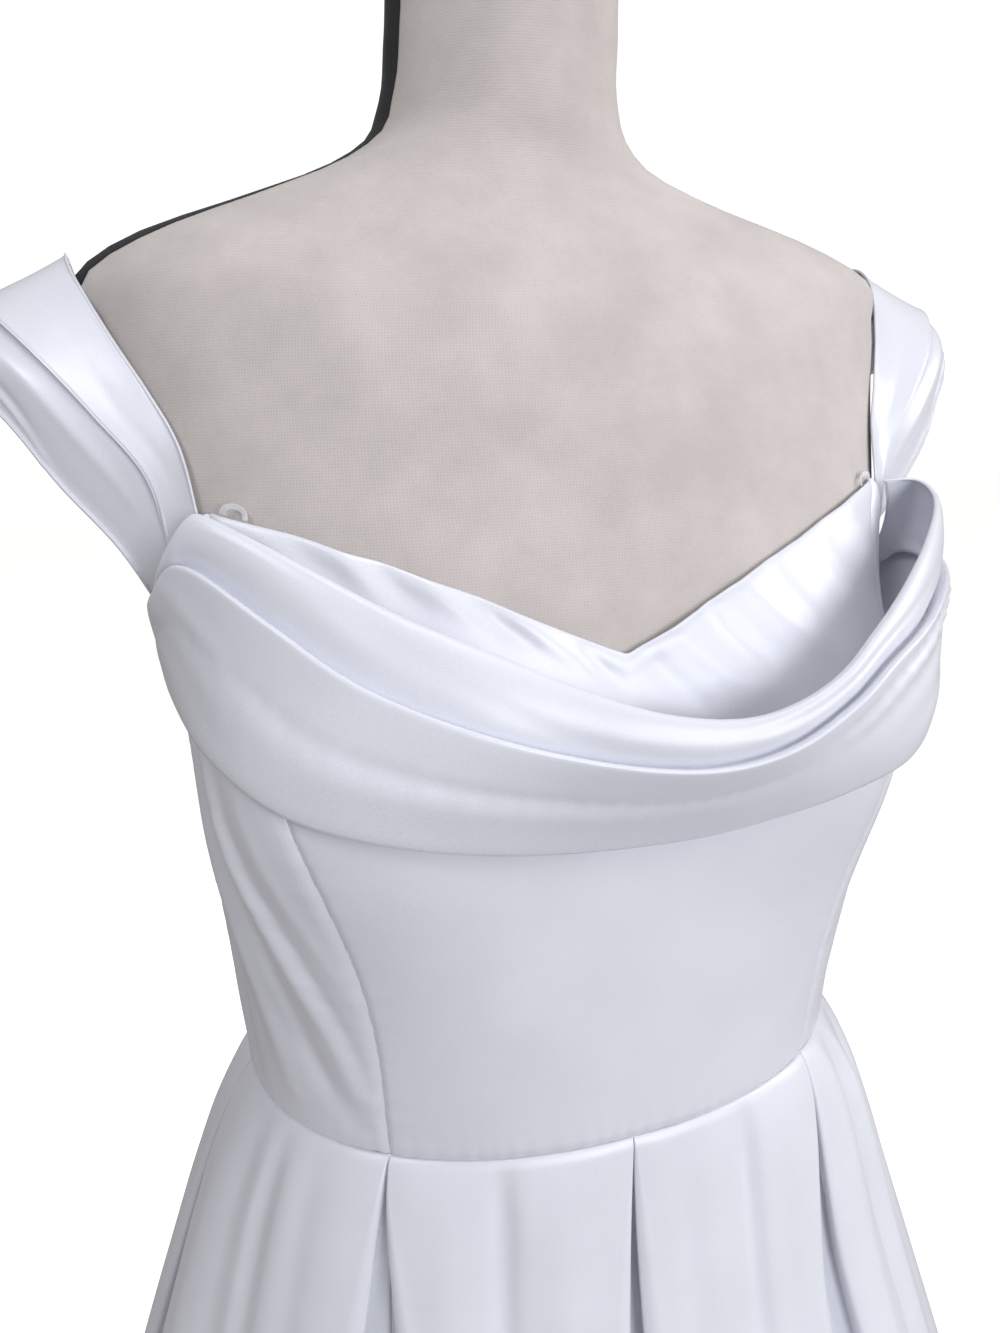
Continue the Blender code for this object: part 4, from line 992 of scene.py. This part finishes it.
def start_material(name):
    """A new node material with its shader, output and a helper that adds linked nodes."""
    material = bpy.data.materials.new(name)
    material.use_nodes = True
    tree = material.node_tree
    shader = tree.nodes["Principled BSDF"]

    def add(kind, inputs=None, **settings):
        node = tree.nodes.new(kind)
        for key, value in settings.items():
            setattr(node, key, value)
        for key, value in (inputs or {}).items():
            if isinstance(value, bpy.types.NodeSocket):
                tree.links.new(value, node.inputs[key])
            else:
                node.inputs[key].default_value = value
        return node

    def link(output, key):
        tree.links.new(output, shader.inputs[key])

    return material, shader, add, link


def colour_between(add, factor, dark, light, low=0.3, high=0.7):
    """A colour ramp from dark to light over part of a factor's range."""
    ramp = add("ShaderNodeValToRGB", {"Fac": factor})
    ramp.color_ramp.elements[0].position = low
    ramp.color_ramp.elements[0].color = (*dark, 1.0)
    ramp.color_ramp.elements[1].position = high
    ramp.color_ramp.elements[1].color = (*light, 1.0)
    return ramp.outputs["Color"]


def shaded(colour, share):
    """A colour made darker or lighter by a share."""
    return tuple(channel * share for channel in colour)


def satin():
    """Heavy bridal satin: a soft wide gloss, fine sparkling floats and a faint cloudiness."""
    if "bridal satin" in bpy.data.materials:
        return bpy.data.materials["bridal satin"]
    colour = tuple(bpy.context.scene.dress_colours.satin)
    material, shader, add, link = start_material("bridal satin")
    place = add("ShaderNodeTexCoord").outputs["Object"]
    cut = add("ShaderNodeUVMap", uv_map="cut").outputs["UV"]
    clouds = add("ShaderNodeTexNoise", {"Vector": place, "Scale": 22.0, "Detail": 3.0, "Roughness": 0.5})
    floats = add("ShaderNodeMapping", {"Vector": cut, "Scale": (900.0, 2600.0, 1.0)})
    grain = add("ShaderNodeTexNoise", {"Vector": floats.outputs["Vector"], "Scale": 1.0, "Detail": 2.0,
                                       "Roughness": 0.6})
    tone = colour_between(add, clouds.outputs["Fac"], shaded(colour, 0.955), colour)
    speck = colour_between(add, grain.outputs["Fac"], (0.93, 0.93, 0.94), (1.0, 1.0, 1.0), 0.35, 0.65)
    mixed = add("ShaderNodeMix", data_type="RGBA", blend_type="MULTIPLY")
    mixed.inputs["Factor"].default_value = 1.0
    material.node_tree.links.new(tone, mixed.inputs["A"])
    material.node_tree.links.new(speck, mixed.inputs["B"])
    link(mixed.outputs["Result"], "Base Color")
    gloss = add("ShaderNodeMapRange", {"Value": grain.outputs["Fac"], "From Min": 0.3, "From Max": 0.7,
                                       "To Min": 0.27, "To Max": 0.37})
    link(gloss.outputs["Result"], "Roughness")
    ripple = add("ShaderNodeTexNoise", {"Vector": place, "Scale": 55.0, "Detail": 2.0})
    soft = add("ShaderNodeBump", {"Height": ripple.outputs["Fac"], "Strength": 0.20, "Distance": 0.0012})
    weave = add("ShaderNodeBump", {"Height": grain.outputs["Fac"], "Strength": 0.22, "Distance": 0.00012,
                                   "Normal": soft.outputs["Normal"]})
    link(weave.outputs["Normal"], "Normal")
    shader.inputs["Anisotropic"].default_value = 0.45
    tangent = add("ShaderNodeTangent", direction_type="UV_MAP", uv_map="cut")
    link(tangent.outputs["Tangent"], "Tangent")
    shader.inputs["Sheen Weight"].default_value = 0.12
    shader.inputs["Sheen Roughness"].default_value = 0.4
    shader.inputs["IOR"].default_value = 1.62
    return material


def woven(name, colour, thread_width, roughness, depth, slub, sheen):
    """A plain woven cover: threads cross on the cut's UV map, with uneven yarn and soft brushed patches."""
    material, shader, add, link = start_material(name)
    place = add("ShaderNodeTexCoord").outputs["Object"]
    uneven = add("ShaderNodeTexNoise", {"Vector": place, "Scale": 900.0, "Detail": 2.0})
    patches = add("ShaderNodeTexNoise", {"Vector": place, "Scale": 30.0, "Detail": 4.0, "Roughness": 0.6})
    cut = add("ShaderNodeUVMap", uv_map="cut").outputs["UV"]
    scale = 0.159 / thread_width
    warp = add("ShaderNodeTexWave", {"Vector": cut, "Scale": scale, "Distortion": slub, "Detail": 2.0,
                                     "Detail Scale": 1.5}, bands_direction="X")
    weft = add("ShaderNodeTexWave", {"Vector": cut, "Scale": scale, "Distortion": slub, "Detail": 2.0,
                                     "Detail Scale": 1.5}, bands_direction="Y")
    crossing = add("ShaderNodeMath", {0: warp.outputs["Fac"], 1: weft.outputs["Fac"]}, operation="MAXIMUM")
    thick = add("ShaderNodeMath", {0: crossing.outputs["Value"], 1: uneven.outputs["Fac"]}, operation="ADD")
    ground = colour_between(add, patches.outputs["Fac"], shaded(colour, 0.89), shaded(colour, 1.05),
                            0.35, 0.7)
    yarn = colour_between(add, thick.outputs["Value"], (0.86, 0.85, 0.85), (1.0, 1.0, 1.0), 0.5, 1.3)
    mixed = add("ShaderNodeMix", data_type="RGBA", blend_type="MULTIPLY")
    mixed.inputs["Factor"].default_value = 1.0
    material.node_tree.links.new(ground, mixed.inputs["A"])
    material.node_tree.links.new(yarn, mixed.inputs["B"])
    link(mixed.outputs["Result"], "Base Color")
    raised = add("ShaderNodeBump", {"Height": thick.outputs["Value"], "Strength": 0.35, "Distance": depth})
    link(raised.outputs["Normal"], "Normal")
    shader.inputs["Roughness"].default_value = roughness
    shader.inputs["Sheen Weight"].default_value = sheen
    return material


def thread():
    """Twisted sewing thread in the satin's white."""
    if "sewing thread" in bpy.data.materials:
        return bpy.data.materials["sewing thread"]
    material, shader, add, link = start_material("sewing thread")
    place = add("ShaderNodeTexCoord").outputs["Object"]
    twist = add("ShaderNodeTexNoise", {"Vector": place, "Scale": 1500.0, "Detail": 2.0})
    colour = tuple(bpy.context.scene.dress_colours.satin)
    link(colour_between(add, twist.outputs["Fac"], shaded(colour, 0.8), colour), "Base Color")
    raised = add("ShaderNodeBump", {"Height": twist.outputs["Fac"], "Strength": 0.5, "Distance": 0.0001})
    link(raised.outputs["Normal"], "Normal")
    shader.inputs["Roughness"].default_value = 0.55
    return material


def ribbon():
    """Thin satin-edged ribbon, slightly see-through."""
    if "loop ribbon" in bpy.data.materials:
        return bpy.data.materials["loop ribbon"]
    material, shader, add, link = start_material("loop ribbon")
    cut = add("ShaderNodeUVMap", uv_map="cut").outputs["UV"]
    ribs = add("ShaderNodeTexWave", {"Vector": cut, "Scale": 400.0, "Distortion": 0.5}, bands_direction="X")
    colour = tuple(bpy.context.scene.dress_colours.ribbon)
    link(colour_between(add, ribs.outputs["Fac"], shaded(colour, 0.85), colour, 0.1, 0.9), "Base Color")
    raised = add("ShaderNodeBump", {"Height": ribs.outputs["Fac"], "Strength": 0.3, "Distance": 0.0001})
    link(raised.outputs["Normal"], "Normal")
    shader.inputs["Roughness"].default_value = 0.3
    shader.inputs["Alpha"].default_value = 0.5
    return material


def painted(name, colour, roughness, metallic, orange_peel):
    """Paint over metal: faint orange peel, and dusty patches that are lighter and change the gloss."""
    if name in bpy.data.materials:
        return bpy.data.materials[name]
    material, shader, add, link = start_material(name)
    place = add("ShaderNodeTexCoord").outputs["Object"]
    peel = add("ShaderNodeTexNoise", {"Vector": place, "Scale": orange_peel, "Detail": 2.0})
    dust = add("ShaderNodeTexNoise", {"Vector": place, "Scale": 18.0, "Detail": 6.0, "Roughness": 0.65})
    lighter = tuple(min(1.0, channel * 1.1 + 0.012) for channel in colour)
    link(colour_between(add, dust.outputs["Fac"], colour, lighter, 0.4, 0.75), "Base Color")
    gloss = add("ShaderNodeMapRange", {"Value": dust.outputs["Fac"], "From Min": 0.3, "From Max": 0.7,
                                       "To Min": roughness - 0.06, "To Max": roughness + 0.1})
    link(gloss.outputs["Result"], "Roughness")
    raised = add("ShaderNodeBump", {"Height": peel.outputs["Fac"], "Strength": 0.15, "Distance": 0.0002})
    link(raised.outputs["Normal"], "Normal")
    shader.inputs["Metallic"].default_value = metallic
    return material


def lacquer():
    """The satin-white lacquer of the zip's slider, pull and teeth."""
    return painted("lacquered zip metal", tuple(bpy.context.scene.dress_colours.zip_metal), 0.32, 0.1, 2500.0)


def refinish(node, material):
    """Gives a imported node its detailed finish."""
    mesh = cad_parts[node].data
    mesh.materials.clear()
    mesh.materials.append(material)


def length_property(name, description, default, **settings):
    """A length that the panel shows."""
    return bpy.props.FloatProperty(name=name, description=description, default=default, subtype="DISTANCE",
                                   unit="LENGTH", precision=4, **settings)


def share_property(name, description, default, most):
    """A share from 0 that the panel shows as a slider."""
    return bpy.props.FloatProperty(name=name, description=description, default=default, min=0.0, max=most,
                                   subtype="FACTOR")


class DressSizes(bpy.types.PropertyGroup):
    satin_thickness: length_property("Satin thickness", "Thickness of the satin's shell", 0.9 * MM,
                                     min=0.3 * MM, max=1.5 * MM)
    fold_height: share_property("Fold height", "Height of the bands' folds, beside the fitted one", 1.0, 1.5)
    crease_depth: share_property("Crease depth", "Depth of the bodice's creases, beside the fitted one",
                                 1.0, 1.5)
    stitch_length: length_property("Stitch length", "Length of one hem stitch", 3.2 * MM)
    stitch_spacing: length_property("Stitch spacing", "From one hem stitch to the next", 7.0 * MM)


def colour_property(name, description, default):
    """A colour that the panel shows."""
    return bpy.props.FloatVectorProperty(name=name, description=description, default=default, size=3,
                                         min=0.0, max=1.0, subtype="COLOR")


class DressColours(bpy.types.PropertyGroup):
    satin: colour_property("Satin", "Colour of the dress", (0.77, 0.78, 0.845))
    linen: colour_property("Linen", "Colour of the form's front cover", (0.555, 0.505, 0.485))
    jersey: colour_property("Jersey", "Colour of the form's back cover", (0.008, 0.008, 0.010))
    steel: colour_property("Steel", "Colour of the stand", (0.018, 0.018, 0.020))
    ribbon: colour_property("Ribbon", "Colour of the hanger loops", (0.86, 0.87, 0.93))
    zip_metal: colour_property("Zip metal", "Colour of the zip's slider, pull and teeth", (0.84, 0.84, 0.86))


def power_property(name, description, default):
    """A light's power that the panel shows."""
    return bpy.props.FloatProperty(name=name, description=description, default=default, min=0.0, unit="POWER")


class StudioSettings(bpy.types.PropertyGroup):
    floor_size: length_property("Floor size", "Side of the studio floor", 40.0)
    side_power: power_property("Side light", "Soft light from the wearer's left, in watts", 22.0)
    top_power: power_property("Top light", "Soft light overhead, in watts", 10.0)
    strap_power: power_property("Strap light", "Small light over the wearer's right strap, in watts", 18.0)
    back_power: power_property("Back light", "Wide soft light from behind, in watts", 26.0)
    front_power: power_property("Front light", "Wide soft light from the front, in watts", 37.0)
    surroundings: share_property("Surroundings", "Brightness of the surroundings, beside white", 0.30, 1.0)


class DRESS_OT_bodice(bpy.types.Operator):
    """Makes the seven cut pieces of the bodice in satin"""
    bl_idname = "dress.bodice"
    bl_label = "Bodice panels"

    def execute(self, context):
        def princess(height):
            return PRINCESS.at(height, "angle")

        def zip_edge(height):
            return 180.0 - np.degrees((ZIP_HALF_WIDTH - SEAM_GAP / 2) / figure_radius(180.0, height))

        bodice_panel("bodice_front", lambda h: -princess(h), princess, 104, 72, 1)
        for side, sign in (("left", 1), ("right", -1)):
            pieces = (
                ("bodice_side_front_", princess, lambda h: SIDE_SEAM + 0 * h, 44, 72, 2),
                ("bodice_side_back_", lambda h: SIDE_SEAM + 0 * h, lambda h: BACK_SEAM + 0 * h, 40, 56, 3),
                ("bodice_back_", lambda h: BACK_SEAM + 0 * h, zip_edge, 40, 56, 4),
            )
            for name, near, far, columns, rows, seed in pieces:
                if sign > 0:
                    bodice_panel(name + side, near, far, columns, rows, seed)
                else:
                    bodice_panel(name + side, lambda h, f=far: -f(h), lambda h, n=near: -n(h), columns, rows,
                                 seed + 4)
        return {"FINISHED"}


class DRESS_OT_drape(bpy.types.Operator):
    """Makes the folded cowl band across the bust"""
    bl_idname = "dress.drape"
    bl_label = "Cowl drape"

    def execute(self, context):
        drape_band()
        return {"FINISHED"}


class DRESS_OT_straps(bpy.types.Operator):
    """Makes the two folded off-shoulder straps"""
    bl_idname = "dress.straps"
    bl_label = "Shoulder straps"

    def execute(self, context):
        for side, sign in (("left", 1), ("right", -1)):
            strap_band(side, sign)
        return {"FINISHED"}


class DRESS_OT_skirt(bpy.types.Operator):
    """Makes the five pleated pieces of the skirt and its hem stitches"""
    bl_idname = "dress.skirt"
    bl_label = "Skirt panels"

    def execute(self, context):
        for name, features, rows, seed in SKIRT_PANELS:
            skirt_panel(name, features, rows, seed)
        hem_stitches()
        return {"FINISHED"}


class DRESS_OT_fastenings(bpy.types.Operator):
    """Makes the hanger loops and the zip's teeth, and finishes its tape, slider and pull"""
    bl_idname = "dress.fastenings"
    bl_label = "Zip and hanger loops"

    def execute(self, context):
        for side, sign in (("left", 1), ("right", -1)):
            hanger_loop(side, sign)
        zip_teeth()
        refinish("zip_chain", thread())
        refinish("zip_slider", lacquer())
        refinish("zip_pull", lacquer())
        return {"FINISHED"}


class DRESS_OT_form(bpy.types.Operator):
    """Makes the form's linen front and jersey back, and finishes its board, pole and base"""
    bl_idname = "dress.form"
    bl_label = "Dress form"

    def execute(self, context):
        colours = context.scene.dress_colours
        linen = woven("form linen", tuple(colours.linen), 0.55 * MM, 0.85, 0.00012, 1.2, 0.25)
        jersey = woven("form jersey", tuple(colours.jersey), 0.45 * MM, 0.8, 0.00015, 0.6, 0.03)
        form_half("form_front_linen", "form_front", -1, linen)
        form_half("form_back_jersey", "form_back", 1, jersey)
        steel = painted("powder coated steel", tuple(colours.steel), 0.42, 0.2, 1400.0)
        for node in ("form_board", "stand_pole", "stand_base"):
            refinish(node, steel)
        return {"FINISHED"}


# The camera that the photograph's outline was fitted with: place above the waist seam and turn
CAMERA_PLACE = (-0.147, -0.412, 0.270)
CAMERA_AZIMUTH = -17.9
CAMERA_ELEVATION = 13.35
CAMERA_ROLL = -1.85
PICTURE_HEIGHT = 1333
FOCAL_PIXELS = 1000.0
SENSOR = 36.0

# The soft lights: name, place and target above the waist seam, side length, colour
BUST = (0.0, 0.0, 0.15)
STRAP_CREST = (-0.25, 0.0, 0.30)
LIGHTS = (
    ("side light", (2.0, -0.9, 0.90), BUST, 1.2, (1.0, 0.99, 0.98)),
    ("top light", (0.2, -0.6, 2.10), BUST, 0.9, (0.96, 0.975, 1.0)),
    ("strap light", (-1.6, -0.9, 2.00), STRAP_CREST, 0.9, (0.93, 0.95, 1.0)),
    ("back light", (0.5, 2.6, 0.70), BUST, 1.8, (0.97, 0.98, 1.0)),
    ("front light", (0.7, -2.6, 0.40), BUST, 1.4, (0.91, 0.945, 1.0)),
)


def area_light(name, place, target, size, power, colour):
    """A square soft light at a place above the waist seam, facing a target."""
    light = bpy.data.lights.new(name, "AREA")
    light.shape = "SQUARE"
    light.size = size
    light.energy = power
    light.color = colour
    lamp = bpy.data.objects.new(name, light)
    lamp.location = Vector(place) + Vector((0.0, 0.0, WAIST))
    lamp.rotation_euler = (Vector(target) - Vector(place)).to_track_quat("-Z", "Y").to_euler()
    bpy.context.scene.collection.objects.link(lamp)


class DRESS_OT_stage(bpy.types.Operator):
    """Makes the pale floor, the soft lights, the pale surroundings and the camera"""
    bl_idname = "dress.stage"
    bl_label = "Studio"

    def execute(self, context):
        studio = context.scene.studio
        ground = bmesh.new()
        bmesh.ops.create_grid(ground, x_segments=1, y_segments=1, size=studio.floor_size / 2)
        mesh = bpy.data.meshes.new("studio_floor")
        ground.to_mesh(mesh)
        ground.free()
        material, shader, add, link = start_material("studio floor")
        place = add("ShaderNodeTexCoord").outputs["Object"]
        grain = add("ShaderNodeTexNoise", {"Vector": place, "Scale": 40.0})
        link(colour_between(add, grain.outputs["Fac"], (0.84, 0.84, 0.84), (0.86, 0.86, 0.86)), "Base Color")
        shader.inputs["Roughness"].default_value = 0.9
        shader.inputs["Emission Color"].default_value = (1.0, 1.0, 1.0, 1.0)
        shader.inputs["Emission Strength"].default_value = 0.75
        mesh.materials.append(material)
        floor = bpy.data.objects.new("studio_floor", mesh)
        floor.visible_diffuse = False
        floor.visible_glossy = False
        context.scene.collection.objects.link(floor)

        world = bpy.data.worlds.new("studio surroundings")
        world.use_nodes = True
        tree = world.node_tree
        dim = tree.nodes["Background"]
        dim.inputs["Color"].default_value = (1.0, 0.97, 0.94, 1.0)
        dim.inputs["Strength"].default_value = studio.surroundings
        seen = tree.nodes.new("ShaderNodeBackground")
        seen.inputs["Color"].default_value = (1.0, 1.0, 1.0, 1.0)
        seen.inputs["Strength"].default_value = 1.1
        path = tree.nodes.new("ShaderNodeLightPath")
        mix = tree.nodes.new("ShaderNodeMixShader")
        tree.links.new(path.outputs["Is Camera Ray"], mix.inputs["Fac"])
        tree.links.new(dim.outputs["Background"], mix.inputs[1])
        tree.links.new(seen.outputs["Background"], mix.inputs[2])
        tree.links.new(mix.outputs["Shader"], tree.nodes["World Output"].inputs["Surface"])
        context.scene.world = world

        for name, place, target, size, colour in LIGHTS:
            area_light(name, place, target, size, getattr(studio, name.replace(" light", "_power")), colour)

        lens = bpy.data.cameras.new("photograph camera")
        lens.sensor_width = SENSOR
        lens.lens = FOCAL_PIXELS * SENSOR / PICTURE_HEIGHT
        lens.clip_start = 0.01
        lens.clip_end = 200.0
        camera = bpy.data.objects.new("photograph camera", lens)
        azimuth, elevation, roll = (math.radians(v) for v in (CAMERA_AZIMUTH, CAMERA_ELEVATION, CAMERA_ROLL))
        back = Vector((math.sin(azimuth) * math.cos(elevation), -math.cos(azimuth) * math.cos(elevation),
                       math.sin(elevation)))
        right = Vector((math.cos(azimuth), math.sin(azimuth), 0.0))
        up = back.cross(right)
        turned_right = math.cos(roll) * right + math.sin(roll) * up
        turned_up = math.cos(roll) * up - math.sin(roll) * right
        camera.matrix_world = Matrix((turned_right, turned_up, back)).transposed().to_4x4()
        camera.location = Vector(CAMERA_PLACE) + Vector((0.0, 0.0, WAIST))
        context.scene.collection.objects.link(camera)
        context.scene.camera = camera
        context.scene.view_settings.view_transform = "Standard"
        return {"FINISHED"}


class DRESS_PT_panel(bpy.types.Panel):
    """Sizes and colours of the dress, and a button for each group of pieces"""
    bl_idname = "DRESS_PT_panel"
    bl_label = "Off-shoulder dress"
    bl_space_type = "VIEW_3D"
    bl_region_type = "UI"
    bl_category = "Dress"

    def draw(self, context):
        column = self.layout.column()
        for settings in (context.scene.dress_sizes, context.scene.dress_colours, context.scene.studio):
            for name in settings.bl_rna.properties.keys():
                if name not in ("name", "rna_type"):
                    column.prop(settings, name)
        for operator in OPERATORS:
            column.operator(operator.bl_idname)


OPERATORS = (DRESS_OT_form, DRESS_OT_bodice, DRESS_OT_drape, DRESS_OT_straps, DRESS_OT_skirt,
             DRESS_OT_fastenings, DRESS_OT_stage)
CLASSES = (DressSizes, DressColours, StudioSettings, *OPERATORS, DRESS_PT_panel)


def register():
    for new_class in CLASSES:
        bpy.utils.register_class(new_class)
    bpy.types.Scene.dress_sizes = bpy.props.PointerProperty(type=DressSizes)
    bpy.types.Scene.dress_colours = bpy.props.PointerProperty(type=DressColours)
    bpy.types.Scene.studio = bpy.props.PointerProperty(type=StudioSettings)


def unregister():
    del bpy.types.Scene.studio
    del bpy.types.Scene.dress_colours
    del bpy.types.Scene.dress_sizes
    for old_class in reversed(CLASSES):
        bpy.utils.unregister_class(old_class)


def main():
    register()
    bpy.ops.dress.form()
    bpy.ops.dress.bodice()
    bpy.ops.dress.drape()
    bpy.ops.dress.straps()
    bpy.ops.dress.skirt()
    bpy.ops.dress.fastenings()
    bpy.ops.dress.stage()


if __name__ == "__main__":
    main()
